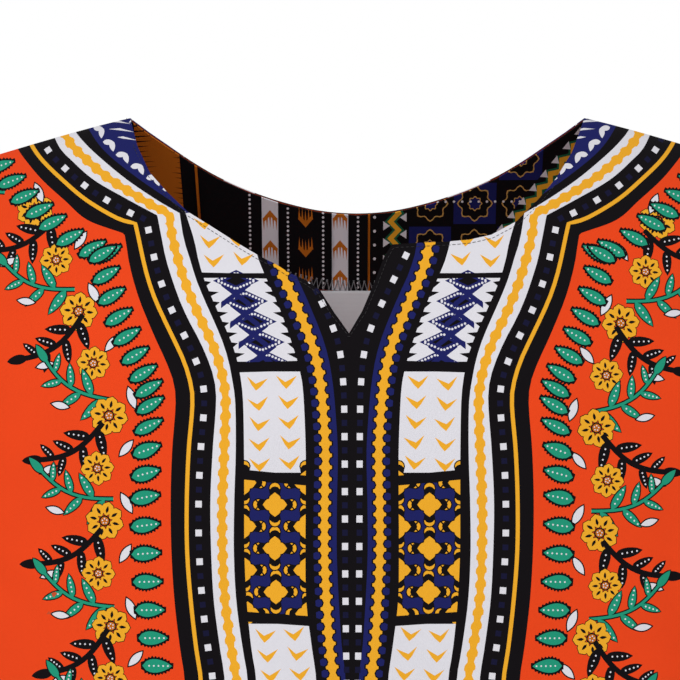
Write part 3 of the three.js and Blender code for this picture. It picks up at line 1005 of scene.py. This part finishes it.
def print_facing(sheet):
    top, bottom = 12.0, -100.0
    for stripe in FACING_STRIPES:
        x, kind = stripe["x"], stripe["kind"]
        if kind == "dots":
            for z in np.arange(bottom, top, 2.35):
                sheet.add(disc(0.72, 6, (x, z)), "white")
        elif kind == "spots":
            for z in np.arange(bottom, top, 7.4):
                sheet.add(disc(0.85, 7, (x, z)), "white")
        elif kind == "line":
            sheet.add(box_shape(1.1, top - bottom, (x, (top + bottom) / 2)), "rust")
        elif kind == "feathers":
            up = 1 if stripe["ground"] == "white" else -1
            if up > 0:
                sheet.add(box_shape(8.8, top - bottom, (x, (top + bottom) / 2)), "white")
            for z in np.arange(bottom + 3, top, 16.0):
                place = set_at(x, z, 0 if up > 0 else math.pi)
                sheet.add_motif(arrow_feather(4.0, "rust"), place)
        else:
            print_zigzag(sheet, set_at(x, bottom), top - bottom)
    sheet.add([(-116, -62), (-92, -66), (-95, 6), (-117, 4)], "rust")
    for k in range(26):
        z = -60 + k * 2.6
        sheet.add([(-120, z), (-108 + 2 * math.sin(k), z + 1.6), (-120, z + 1.1)], "black")
        sheet.add([(-90, z), (-97 + 1.5 * math.cos(k * 1.7), z + 1.2), (-90, z + 0.9)], "black")
    sheet.add([(-84, -70), (-82.6, -70), (-86.0, 2), (-87.4, 2)], "rust")
    for column in range(3):
        for row in range(3):
            x, z = 39.4 + column * 23.8, -64 + row * 23.0
            tile = "navy" if (row + column) % 2 == 0 else "black"
            sheet.add(box_shape(22.6, 21.6, (x, z)), tile)
            turns = np.arange(40) * 2 * math.pi / 40
            for radius, ink in ((8.6, "gold"), (7.9, "black"), (3.6, "gold"), (3.0, "navy")):
                lobes = radius * (1 + 0.12 * np.cos(8 * turns))
                sheet.add(np.stack([x + lobes * np.cos(turns), z + lobes * np.sin(turns)], axis=1), ink)
    for k in range(16):
        x = 30 + k * 4.4
        sheet.add(disc(0.7, 6, (x, -40.0)), "white")
    print_zigzag(sheet, set_at(74, -66, math.radians(-38)), 100.0, 11.0)
    sheet.add([(106, -60), (150, -60), (150, 10), (132, 10)], "black")
    for k in range(3):
        place = set_at(124 + 4 * k, -44 + 17 * k)
        sheet.add_motif([(disc(5.4, 14), "gold"), (disc(4.7, 14), "black"), (disc(2.6, 12), "gold"),
                         (disc(1.9, 12), "black")], place)


# ---------------------------------------------------------------- meshes

def boundary_loop(triangles):
    """The vertices along the edge of a sheet of triangles, in order."""
    directed = {}
    pairs = np.vstack([triangles[:, (0, 1)], triangles[:, (1, 2)], triangles[:, (2, 0)]])
    have = set(map(tuple, pairs.tolist()))
    for a, b in have:
        if (b, a) not in have:
            directed[a] = b
    start = next(iter(directed))
    loop = [start]
    while directed[loop[-1]] != start:
        loop.append(directed[loop[-1]])
    return loop


def fill_loop(points, spacing):
    """Coarser triangles inside the same edge. Their first vertices are the edge's own, in order."""
    low, high = points.min(axis=0), points.max(axis=0)
    grid = [
        (x, z)
        for i, z in enumerate(np.arange(low[1], high[1], spacing * 0.866))
        for x in np.arange(low[0] + (i % 2) * spacing / 2, high[0], spacing)
    ]
    vectors = [Vector(point) for point in points] + [Vector(point) for point in grid]
    cut = delaunay_2d_cdt(vectors, [], [list(range(len(points)))], 0, 1e-4, True)
    triangles = [face for face, owners in zip(cut[2], cut[5]) if owners]
    place = {}
    for index, origins in enumerate(cut[3]):
        for origin in origins:
            place[origin] = index
    order = [place[i] for i in range(len(points))]
    rest = sorted({i for face in triangles for i in face} - set(order))
    number = {old: new for new, old in enumerate(order + rest)}
    found = np.array([tuple(cut[0][i]) for i in order + rest])
    return found, np.array([[number[i] for i in face] for face in triangles])


def make_mesh(name, points, faces, inks, normals, uvs, material):
    """A finished piece at the origin, in metres: an ink, a normal and a place on the cloth per corner."""
    mesh = bpy.data.meshes.new(name)
    mesh.from_pydata((np.asarray(points) * MM).tolist(), [], [list(map(int, face)) for face in faces])
    layer = mesh.color_attributes.new("ink", "FLOAT_COLOR", "CORNER")
    sizes = [len(face) for face in faces]
    colours = np.repeat(np.array([(*INKS[ink], 1.0) for ink in inks]), sizes, axis=0)
    layer.data.foreach_set("color", colours.ravel())
    if uvs is not None:
        layer = mesh.uv_layers.new(name="OFBake")
        layer.data.foreach_set("uv", np.asarray(uvs, float).ravel())
    mesh.shade_smooth()
    if normals is not None:
        mesh.normals_split_custom_set([tuple(normal) for normal in normals])
    mesh.materials.append(material)
    piece = bpy.data.objects.new(name, mesh)
    bpy.context.scene.collection.objects.link(piece)
    return piece


def cloth_piece(name, side, sheet, printed_depth, plain_depth, plain_ink, material, spacing):
    """A closed shell: one face printed, the other plain, joined round the edge."""
    flat, triangles, inks = sheet.cut(spacing)
    loop = boundary_loop(triangles)
    back_flat, back_triangles = fill_loop(flat[loop], spacing * 1.6)
    printed, out_normals = cloth_surface(side, flat[:, 0], flat[:, 1], printed_depth)
    plain, back_normals = cloth_surface(side, back_flat[:, 0], back_flat[:, 1], plain_depth)
    outside = 1 if printed_depth < plain_depth else -1
    flipped = (side == "back") != (outside < 0)
    count = len(printed)
    points = np.vstack([printed, plain])

    owner = {}
    for face, ink in zip(triangles.tolist(), inks):
        for a, b in zip(face, face[1:] + face[:1]):
            owner[(a, b)] = ink
    faces = [tuple(face) for face in triangles.tolist()]
    faces += [tuple(face[::-1] + count) for face in back_triangles]
    colours = list(inks) + [plain_ink] * len(back_triangles)
    span = len(loop)
    for i in range(span):
        a, b = loop[i], loop[(i + 1) % span]
        faces.append((b, a, count + i, count + (i + 1) % span))
        colours.append(owner[(a, b)])
    if flipped:
        faces = [tuple(face[::-1]) for face in faces]

    low = np.minimum(flat.min(axis=0), back_flat.min(axis=0))
    size = (np.maximum(flat.max(axis=0), back_flat.max(axis=0)) - low) * (2.04, 1.0)
    scale = 0.98 / size.max()
    printed_uv = (flat - low) * scale + 0.005
    plain_uv = (back_flat - low) * scale + 0.005 + (0.5, 0)
    uv = np.vstack([printed_uv, plain_uv])
    normal = np.vstack([out_normals * outside, -back_normals * outside])
    corners = np.concatenate([np.array(face) for face in faces])
    corner_normals = normal[corners]
    corner_uvs = uv[corners]
    first = 3 * (len(triangles) + len(back_triangles))
    for i in range(span):
        face = faces[len(triangles) + len(back_triangles) + i]
        a, b, c = (points[face[k]] for k in (0, 1, 2))
        across = np.cross(b - a, c - b)
        across /= np.linalg.norm(across) + 1e-9
        at = first + 4 * i
        corner_normals[at:at + 4] = across
        corner_uvs[at:at + 4] = uv[[v if v < count else loop[v - count] for v in face]]
    piece = make_mesh(name, points, faces, colours, corner_normals, corner_uvs, material)
    return piece



# ---------------------------------------------------------------- materials

class Value:
    """A shader socket that can be used in sums."""

    def __init__(self, nodes, socket):
        self.nodes, self.socket = nodes, socket

    def maths(self, operation, other=None, swap=False):
        pair = (other, self) if swap else (self, other)
        return self.nodes.node("ShaderNodeMath", dict(operation=operation),
                               {i: v for i, v in enumerate(pair) if v is not None})

    def __add__(self, other):
        return self.maths("ADD", other)

    __radd__ = __add__

    def __mul__(self, other):
        return self.maths("MULTIPLY", other)

    __rmul__ = __mul__

    def __sub__(self, other):
        return self.maths("SUBTRACT", other)

    def __rsub__(self, other):
        return self.maths("SUBTRACT", other, swap=True)


class Nodes:
    """The nodes of one material."""

    def __init__(self, name):
        self.material = bpy.data.materials.new(name)
        self.material.use_nodes = True
        self.tree = self.material.node_tree
        self.surface = self.tree.nodes["Principled BSDF"]

    def node(self, kind, settings=None, inputs=None, output=0):
        made = self.tree.nodes.new(kind)
        for key, value in (settings or {}).items():
            setattr(made, key, value)
        for key, value in (inputs or {}).items():
            if isinstance(value, Value):
                self.tree.links.new(value.socket, made.inputs[key])
            else:
                made.inputs[key].default_value = value
        return Value(self, made.outputs[output])

    def split(self, vector):
        parts = self.node("ShaderNodeSeparateXYZ", inputs={0: vector}).socket.node
        return [Value(self, parts.outputs[i]) for i in range(3)]

    def finish(self, linked, constants):
        for name, value in linked.items():
            self.tree.links.new(value.socket, self.surface.inputs[name])
        for name, value in constants.items():
            self.surface.inputs[name].default_value = value
        return self.material


def cotton(name, threads, roughness=0.84, dulled=0.10):
    """Printed plain-weave cotton: the ink of each face, slightly uneven, on a fine weave."""
    nodes = Nodes(name)
    place = nodes.node("ShaderNodeTexCoord", output=3)
    ink = nodes.node("ShaderNodeVertexColor", dict(layer_name="ink"))
    x, y, z = nodes.split(place)
    pitch = threads * 1000.0 * 2 * math.pi
    warp = (x * pitch).maths("SINE")
    weft = (z * pitch).maths("SINE")
    slub = nodes.node("ShaderNodeTexNoise", inputs={"Vector": place, "Scale": 900.0, "Detail": 3.0})
    cloud = nodes.node("ShaderNodeTexNoise", inputs={"Vector": place, "Scale": 26.0, "Detail": 2.0})
    weave = warp * weft * 0.5 + slub * 0.9
    shade = (1.0 - dulled) + weave * (dulled * 0.55) + cloud * (dulled * 0.9)
    grey = nodes.node("ShaderNodeCombineColor", inputs={0: shade, 1: shade, 2: shade})
    colour = nodes.node("ShaderNodeMix", dict(data_type="RGBA", blend_type="MULTIPLY"),
                        {0: 1.0, 6: ink, 7: grey}, output=2)
    bump = nodes.node("ShaderNodeBump", inputs={"Strength": 0.32, "Distance": 0.00016, "Height": weave})
    rough = roughness + (cloud - 0.5) * 0.12
    return nodes.finish(
        {"Base Color": colour, "Normal": bump, "Roughness": rough},
        {"Specular IOR Level": 0.07},
    )


def thread_material(name, colour):
    """Twisted sewing thread."""
    nodes = Nodes(name)
    place = nodes.node("ShaderNodeTexCoord", output=3)
    twist = nodes.node("ShaderNodeTexNoise", inputs={"Vector": place, "Scale": 2600.0, "Detail": 2.0})
    shade = 0.82 + twist * 0.36
    grey = nodes.node("ShaderNodeCombineColor", inputs={0: shade, 1: shade, 2: shade})
    tint = nodes.node("ShaderNodeMix", dict(data_type="RGBA", blend_type="MULTIPLY"),
                      {0: 1.0, 6: (*colour, 1.0), 7: grey}, output=2)
    bump = nodes.node("ShaderNodeBump", inputs={"Strength": 0.3, "Distance": 0.0001, "Height": twist})
    return nodes.finish({"Base Color": tint, "Normal": bump}, {"Roughness": 0.6})


def satin_ribbon(name):
    """White ribbon with fine ribs across it."""
    nodes = Nodes(name)
    place = nodes.node("ShaderNodeTexCoord", output=3)
    x, y, z = nodes.split(place)
    ribs = (z * 9000.0).maths("SINE")
    cloud = nodes.node("ShaderNodeTexNoise", inputs={"Vector": place, "Scale": 60.0, "Detail": 2.0})
    shade = 0.62 + cloud * 0.10 + ribs * 0.012
    colour = nodes.node("ShaderNodeCombineColor", inputs={0: shade, 1: shade * 0.99, 2: shade * 1.04})
    bump = nodes.node("ShaderNodeBump", inputs={"Strength": 0.25, "Distance": 0.0001, "Height": ribs})
    return nodes.finish({"Base Color": colour, "Normal": bump}, {"Roughness": 0.42})


PRINTED = cotton("printed_cotton", threads=1.15)
FACING = cotton("facing_cotton", threads=1.15, roughness=0.88)
DARK_THREAD = thread_material("black_thread", (0.012, 0.010, 0.012))
GREY_THREAD = thread_material("grey_overlock_thread", (0.26, 0.26, 0.28))
ORANGE_THREAD = thread_material("orange_thread", (0.62, 0.05, 0.012))
RIBBON = satin_ribbon("label_satin")


# ---------------------------------------------------------------- stitches

def stitch_tree(material):
    """Geometry Nodes that lay round stitches along a line."""
    tree = bpy.data.node_groups.new("stitches", "GeometryNodeTree")
    tree.interface.new_socket("Line", in_out="INPUT", socket_type="NodeSocketGeometry")
    for name in ("Pitch", "Stitch length", "Thread radius"):
        tree.interface.new_socket(name, in_out="INPUT", socket_type="NodeSocketFloat")
    tree.interface.new_socket("Stitches", in_out="OUTPUT", socket_type="NodeSocketGeometry")
    new, link = tree.nodes.new, tree.links.new
    given, made = new("NodeGroupInput"), new("NodeGroupOutput")
    curve = new("GeometryNodeMeshToCurve")
    spaced = new("GeometryNodeResampleCurve")
    spaced.mode = "LENGTH"
    tangent = new("GeometryNodeInputTangent")
    align = new("FunctionNodeAlignRotationToVector")
    align.axis = "X"
    bead = new("GeometryNodeMeshUVSphere")
    bead.inputs["Segments"].default_value = 6
    bead.inputs["Rings"].default_value = 4
    bead.inputs["Radius"].default_value = 1.0
    shape = new("ShaderNodeCombineXYZ")
    half = new("ShaderNodeMath")
    half.operation = "MULTIPLY"
    half.inputs[1].default_value = 0.5
    points = new("GeometryNodeInstanceOnPoints")
    real = new("GeometryNodeRealizeInstances")
    paint = new("GeometryNodeSetMaterial")
    paint.inputs["Material"].default_value = material
    link(given.outputs["Line"], curve.inputs["Mesh"])
    link(curve.outputs["Curve"], spaced.inputs["Curve"])
    link(given.outputs["Pitch"], spaced.inputs["Length"])
    link(tangent.outputs["Tangent"], align.inputs["Vector"])
    link(given.outputs["Stitch length"], half.inputs[0])
    link(half.outputs[0], shape.inputs["X"])
    link(given.outputs["Thread radius"], shape.inputs["Y"])
    link(given.outputs["Thread radius"], shape.inputs["Z"])
    link(spaced.outputs["Curve"], points.inputs["Points"])
    link(bead.outputs["Mesh"], points.inputs["Instance"])
    link(align.outputs["Rotation"], points.inputs["Rotation"])
    link(shape.outputs["Vector"], points.inputs["Scale"])
    link(points.outputs["Instances"], real.inputs["Geometry"])
    link(real.outputs["Geometry"], paint.inputs["Geometry"])
    link(paint.outputs["Geometry"], made.inputs["Stitches"])
    return tree


def stitched(name, lines, material, pitch, length, radius):
    """Rows of stitches along lines of points, as one plain mesh."""
    points, edges = [], []
    for line in lines:
        start = len(points)
        points.extend((np.asarray(line) * MM).tolist())
        edges.extend((i, i + 1) for i in range(start, len(points) - 1))
    mesh = bpy.data.meshes.new(name + "_line")
    mesh.from_pydata(points, edges, [])
    guide = bpy.data.objects.new(name + "_line", mesh)
    bpy.context.scene.collection.objects.link(guide)
    tree = stitch_tree(material)
    modifier = guide.modifiers.new("stitches", "NODES")
    modifier.node_group = tree
    sizes = {"Pitch": pitch, "Stitch length": length, "Thread radius": radius}
    for item in tree.interface.items_tree:
        if item.in_out == "INPUT" and item.name in sizes:
            modifier[item.identifier] = sizes[item.name] * MM
    bpy.context.view_layer.update()
    evaluated = guide.evaluated_get(bpy.context.evaluated_depsgraph_get())
    plain = bpy.data.meshes.new_from_object(evaluated)
    plain.name = name
    guide.modifiers.clear()
    bpy.data.objects.remove(guide)
    plain.shade_smooth()
    piece = bpy.data.objects.new(name, plain)
    bpy.context.scene.collection.objects.link(piece)
    return piece


def on_cloth(side, flat, proud):
    flat = np.asarray(flat, float)
    return cloth_surface(side, flat[:, 0], flat[:, 1], -proud)[0]


def neck_stitch_line(side, inset):
    """A line just below the neck edge."""
    neck = spline(SIDES[side]["neck"], 2.0) if side == "back" else np.array(SIDES[side]["neck"], float)
    path = Path(neck)
    line = path.offset(-inset)
    return on_cloth(side, line, 0.12)


# ---------------------------------------------------------------- sleeves

SLEEVE_ANGLE = math.radians(50)
CUFF = dict(x=331.0, z=-262.0, half_height=66.0, half_depth=70.0)
SLEEVE_STEPS = 64
SLEEVE_GAP = 0.3
SLEEVE_CREASES = [
    dict(turn=2.5, spread=0.30, start=0.02, end=0.55, depth=-3.6, slant=0.7),
    dict(turn=3.7, spread=0.28, start=0.02, end=0.60, depth=-3.2, slant=-0.8),
    dict(turn=1.6, spread=0.34, start=0.10, end=0.90, depth=2.4, slant=0.5),
    dict(turn=4.7, spread=0.34, start=0.10, end=0.92, depth=2.2, slant=-0.4),
    dict(turn=0.5, spread=0.40, start=0.35, end=1.00, depth=-1.8, slant=0.6),
    dict(turn=5.6, spread=0.36, start=0.30, end=1.00, depth=-1.6, slant=-0.5),
]


def armhole_ring(count):
    """Points round the armhole from the shoulder tip, down the front and up the back."""
    tip = float(ridge(SHOULDER_HALF))
    middle, half = (tip + UNDERARM_Z) / 2, (tip - UNDERARM_Z) / 2
    turns = np.arange(count) * 2 * math.pi / count
    z = middle + half * np.cos(turns)
    ring = []
    for turn, height in zip(turns, z):
        side = "front" if turn < math.pi else "back"
        x = edge_half_width(height)
        y = depth_at(side, x, height) * (-1 if side == "front" else 1)
        ring.append((float(x) + SLEEVE_GAP, float(y), float(height)))
    return turns, np.array(ring)


def sleeve_surface():
    """The sleeve's outer face: rows from the armhole to the cuff, points all the way round."""
    count = 120
    turns, start = armhole_ring(count)
    along = np.array([math.cos(SLEEVE_ANGLE), 0, -math.sin(SLEEVE_ANGLE)])
    across = np.array([math.sin(SLEEVE_ANGLE), 0, math.cos(SLEEVE_ANGLE)])
    top = np.array([1, 0, -SHOULDER_FALL])
    low = np.array([0.55, 0, -1])
    top, low = top / np.linalg.norm(top), low / np.linalg.norm(low)
    centre = np.array([CUFF["x"], 0, CUFF["z"]])
    end = (centre + CUFF["half_height"] * np.cos(turns)[:, None] * across
           - CUFF["half_depth"] * np.sin(turns)[:, None] * np.array([0, 1, 0]))
    third = np.linalg.norm(end - start, axis=1)[:, None] / 3
    weight = ((1 - np.cos(turns)) / 2)[:, None]
    heading = top * (1 - weight) + low * weight
    heading /= np.linalg.norm(heading, axis=1, keepdims=True)
    leave, arrive = start + heading * third, end - along * third
    rows = []
    for t in np.linspace(0, 1, SLEEVE_STEPS + 1):
        leaving = start * (1 - t) ** 3 + 3 * leave * t * (1 - t) ** 2
        rows.append(leaving + 3 * arrive * t * t * (1 - t) + end * t**3)
    surface = np.array(rows)
    normals = grid_normals(surface)
    height = np.zeros(surface.shape[:2])
    t = np.linspace(0, 1, SLEEVE_STEPS + 1)[:, None]
    for crease in SLEEVE_CREASES:
        share = np.clip((t - crease["start"]) / (crease["end"] - crease["start"]), 0, 1)
        fade = np.sin(math.pi * share) ** 1.2 if crease["end"] < 1 else np.sin(math.pi / 2 * share) ** 1.5
        middle = crease["turn"] + crease["slant"] * (t - 0.5)
        apart = (turns[None, :] - middle + math.pi) % (2 * math.pi) - math.pi
        height += crease["depth"] * fade * np.exp(-((apart / crease["spread"]) ** 2))
    surface = surface + normals * height[..., None]
    return surface, grid_normals(surface)


def grid_normals(surface):
    down = np.gradient(surface, axis=0)
    round_ = np.roll(surface, -1, axis=1) - np.roll(surface, 1, axis=1)
    normals = np.cross(down, round_)
    normals /= np.linalg.norm(normals, axis=-1, keepdims=True)
    outwards = surface - surface.mean(axis=1, keepdims=True)
    return normals * np.sign(np.sum(normals * outwards, axis=(1, 2), keepdims=True))


def sleeve_piece(name, handed, surface, normals):
    """A closed tube wall, orange outside and its wrong side inside."""
    rows, count = surface.shape[:2]
    mirror = np.array([handed, 1, 1])
    outer = surface.reshape(-1, 3) * mirror
    inner = (surface - normals * CLOTH).reshape(-1, 3) * mirror
    faces, inks = [], []
    size = rows * count
    for r in range(rows - 1):
        for c in range(count):
            a, b = r * count + c, r * count + (c + 1) % count
            faces.append((a, a + count, b + count, b))
            inks.append("orange")
            faces.append((size + a, size + b, size + b + count, size + a + count))
            inks.append("wrong_side")
    last = (rows - 1) * count
    for c in range(count):
        d = (c + 1) % count
        faces.append((c, d, size + d, size + c))
        faces.append((last + c, size + last + c, size + last + d, last + d))
        inks += ["orange", "orange"]
    if handed < 0:
        faces = [face[::-1] for face in faces]
    points = np.vstack([outer, inner])
    corners = []
    for index, face in enumerate(faces):
        layer = 0.5 if min(face) >= size else 0.0
        wraps = max(v % size % count for v in face) - min(v % size % count for v in face) > 1
        for v in face:
            r, c = divmod(v % size, count)
            c = count if wraps and c == 0 else c
            corners.append((0.005 + layer + 0.48 * c / count, 0.005 + 0.24 * r / (rows - 1)))
    return make_mesh(name, points, faces, inks, None, corners, PRINTED)


# ---------------------------------------------------------------- the label

def label_piece():
    """A blank ribbon label that hangs from under the back facing."""
    low, high = (np.array(corner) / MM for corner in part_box("care_label"))
    top = high[2] + 0.6
    columns, rows = 24, 32
    thickness = 0.3
    grid = []
    for layer in (0.0, thickness):
        for r in range(rows + 1):
            down = r / rows
            for c in range(columns + 1):
                across = c / columns
                x = low[0] + (high[0] - low[0]) * across
                bow = 4.4 * down * down * (0.4 + 0.6 * math.cos(math.pi * (across - 0.5)))
                curl = 0.5 * math.sin(5.2 * across + 2.6 * down)
                y = low[1] + 0.8 + bow + curl * down + layer
                grid.append((x, y, top - (top - low[2]) * down))
    points = np.array(grid)
    size = (rows + 1) * (columns + 1)
    faces = []
    for r in range(rows):
        for c in range(columns):
            a = r * (columns + 1) + c
            b, d, e = a + 1, a + columns + 1, a + columns + 2
            faces.append((a, d, e, b))
            faces.append((size + a, size + b, size + e, size + d))
    rim = [c for c in range(columns + 1)]
    rim += [r * (columns + 1) + columns for r in range(1, rows + 1)]
    rim += [rows * (columns + 1) + c for c in range(columns - 1, -1, -1)]
    rim += [r * (columns + 1) for r in range(rows - 1, 0, -1)]
    for a, b in zip(rim, rim[1:] + rim[:1]):
        faces.append((a, b, size + b, size + a))
    return make_mesh("blank_care_label", points, faces, ["white"] * len(faces), None, None, RIBBON)


# ---------------------------------------------------------------- making the shirt

PANEL_SPACING = 9.0

front_sheet = Print(panel_outline("front"), "orange")
print_border(front_sheet, FRONT_NECK)
front = cloth_piece("front_body", "front", front_sheet, 0.0, CLOTH, "wrong_side", PRINTED, PANEL_SPACING)

back_sheet = Print(panel_outline("back"), "orange")
print_border(back_sheet, BACK_NECK)
back = cloth_piece("back_body", "back", back_sheet, 0.0, CLOTH, "wrong_side", PRINTED, PANEL_SPACING)

facings = {}
for side in SIDES:
    sheet = Print(facing_outline(side), "black")
    print_facing(sheet)
    facings[side] = cloth_piece(side + "_facing", side, sheet, FACING_DEPTH + CLOTH, FACING_DEPTH,
                                "wrong_black", FACING, 5.0)

surface, normals = sleeve_surface()
left_sleeve = sleeve_piece("left_sleeve", 1, surface, normals)
right_sleeve = sleeve_piece("right_sleeve", -1, surface, normals)
label = label_piece()

for piece, node, slot in (
    (front, "front_panel", "printed_cotton"),
    (back, "back_panel", "printed_cotton"),
    (left_sleeve, "sleeve_left", "sleeve_cotton"),
    (right_sleeve, "sleeve_right", "sleeve_cotton"),
    (facings["front"], "front_neck_facing", "facing_cotton"),
    (facings["back"], "back_neck_facing", "facing_cotton"),
    (label, "care_label", "label_satin"),
):
    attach(piece, "root")
    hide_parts(node)



def outline_area(points):
    turned = np.roll(points, -1, axis=0)
    return abs(float(np.sum(points[:, 0] * turned[:, 1] - turned[:, 0] * points[:, 1]))) / 2


def declare_cut(outline):
    """Works out the size and area of a piece's flat cut from its outline on the flat cloth, and keeps
    neither.
    """
    size = np.ptp(outline, axis=0) * MM
    outline_area(outline) * MM * MM


declare_cut(front_sheet.shapes[0][0])
declare_cut(back_sheet.shapes[0][0])
for side, neck in (("front", FRONT_NECK), ("back", BACK_NECK)):
    strip_length = Path(neck).length * MM
    strip_area = outline_area(facing_outline(side)) * MM * MM
    side + "_panel"
around = np.linalg.norm(np.roll(surface, -1, axis=1) - surface, axis=2)
down = np.linalg.norm(np.diff(surface, axis=0), axis=2)

neck_stitches = stitched("neck_topstitching", [neck_stitch_line("front", 1.9), neck_stitch_line("back", 1.9)],
                         DARK_THREAD, 2.6, 2.1, 0.17)
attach(neck_stitches, "root")

OVERLOCK_STEP = 1.5
OVERLOCK_LOW = 0.3
OVERLOCK_HIGH = 6.0
THREAD_PROUD = 0.15
HEM_STITCH_HEIGHT = 20.0

lower = np.array([(x, z + (HEM_Z - z) * FACING_FRACTION) for x, z in spline(BACK_NECK, 1.6)])
zigzag = Path(lower)
loop_count = int(zigzag.length / OVERLOCK_STEP)
swing = np.array([OVERLOCK_LOW if k % 2 else OVERLOCK_HIGH for k in range(loop_count)])
steps = [zigzag.at(OVERLOCK_STEP * k + 0.7) for k in range(loop_count)]
loops = np.array([point + np.array([-way[1], way[0]]) * across for (point, way), across in zip(steps, swing)])
overlock_line = cloth_surface("back", loops[:, 0], loops[:, 1], FACING_DEPTH + CLOTH + THREAD_PROUD)[0]
overlock = stitched("overlock", [overlock_line], GREY_THREAD, 1.0, 1.3, 0.26)
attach(overlock, "root")

hem_lines = []
height = HEM_Z + HEM_STITCH_HEIGHT
for side in SIDES:
    reach = SIDE_FROM + float(SIDE_RUNS[side].length(height)) - 3
    hem_lines.append(on_cloth(side, [(q, height) for q in np.arange(-reach, reach, 5.0)], 0.12))
ring = surface[-11] + normals[-11] * 0.12
for handed in (1, -1):
    hem_lines.append(np.vstack([ring, ring[:1]]) * (handed, 1, 1))
hem_stitches = stitched("hem_and_cuff_stitching", hem_lines, ORANGE_THREAD, 3.0, 2.4, 0.2)
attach(hem_stitches, "root")

# ---------------------------------------------------------------- floor, light and camera

scene = bpy.context.scene
scene.view_settings.view_transform = "Standard"

floor_nodes = Nodes("pale_floor")
floor_place = floor_nodes.node("ShaderNodeTexCoord", output=3)
floor_cloud = floor_nodes.node("ShaderNodeTexNoise", inputs={"Vector": floor_place, "Scale": 1.2})
floor_shade = 0.84 + floor_cloud * 0.04
floor_colour = floor_nodes.node("ShaderNodeCombineColor", inputs=dict.fromkeys(range(3), floor_shade))
floor_material = floor_nodes.finish({"Base Color": floor_colour}, {"Roughness": 0.9})
bpy.ops.mesh.primitive_plane_add(size=14, location=(0, 0, -1.3))
floor = bpy.context.active_object
floor.name = "floor"
floor.data.materials.append(floor_material)

world = bpy.data.worlds.new("studio")
scene.world = world
world.use_nodes = True
sky = world.node_tree.nodes["Background"]
direction = world.node_tree.nodes.new("ShaderNodeTexCoord")
parts = world.node_tree.nodes.new("ShaderNodeSeparateXYZ")
brighter_behind = world.node_tree.nodes.new("ShaderNodeMapRange")
for name, value in (("From Min", 0.92), ("From Max", 0.98), ("To Min", 0.60), ("To Max", 1.0)):
    brighter_behind.inputs[name].default_value = value
world.node_tree.links.new(direction.outputs["Generated"], parts.inputs[0])
world.node_tree.links.new(parts.outputs["Y"], brighter_behind.inputs["Value"])
world.node_tree.links.new(brighter_behind.outputs["Result"], sky.inputs["Strength"])
sky.inputs["Color"].default_value = (1, 1, 1, 1)


def soft_light(name, at, towards, size, power):
    lamp = bpy.data.lights.new(name, "AREA")
    lamp.shape = "SQUARE"
    lamp.size = size
    lamp.energy = power
    holder = bpy.data.objects.new(name, lamp)
    holder.location = at
    holder.rotation_euler = (Vector(towards) - Vector(at)).to_track_quat("-Z", "Y").to_euler()
    scene.collection.objects.link(holder)


soft_light("key", (-1.1, -2.2, 1.0), (0, 0, -0.2), 1.2, 24)
soft_light("fill", (1.6, -2.0, 0.2), (0, 0, -0.2), 1.6, 5)

CAMERA_DISTANCE = 2.2
VIEW_WIDTH = 0.3536
VIEW_MIDDLE = (-0.009, -0.1154)
camera_data = bpy.data.cameras.new("camera")
camera_data.sensor_width = 36.0
camera_data.lens = 36.0 * CAMERA_DISTANCE / VIEW_WIDTH
camera_data.clip_start = 0.05
camera_data.clip_end = 50.0
camera = bpy.data.objects.new("camera", camera_data)
camera.location = (VIEW_MIDDLE[0], -CAMERA_DISTANCE, VIEW_MIDDLE[1])
camera.rotation_euler = (math.radians(90), 0, 0)
scene.collection.objects.link(camera)
scene.camera = camera
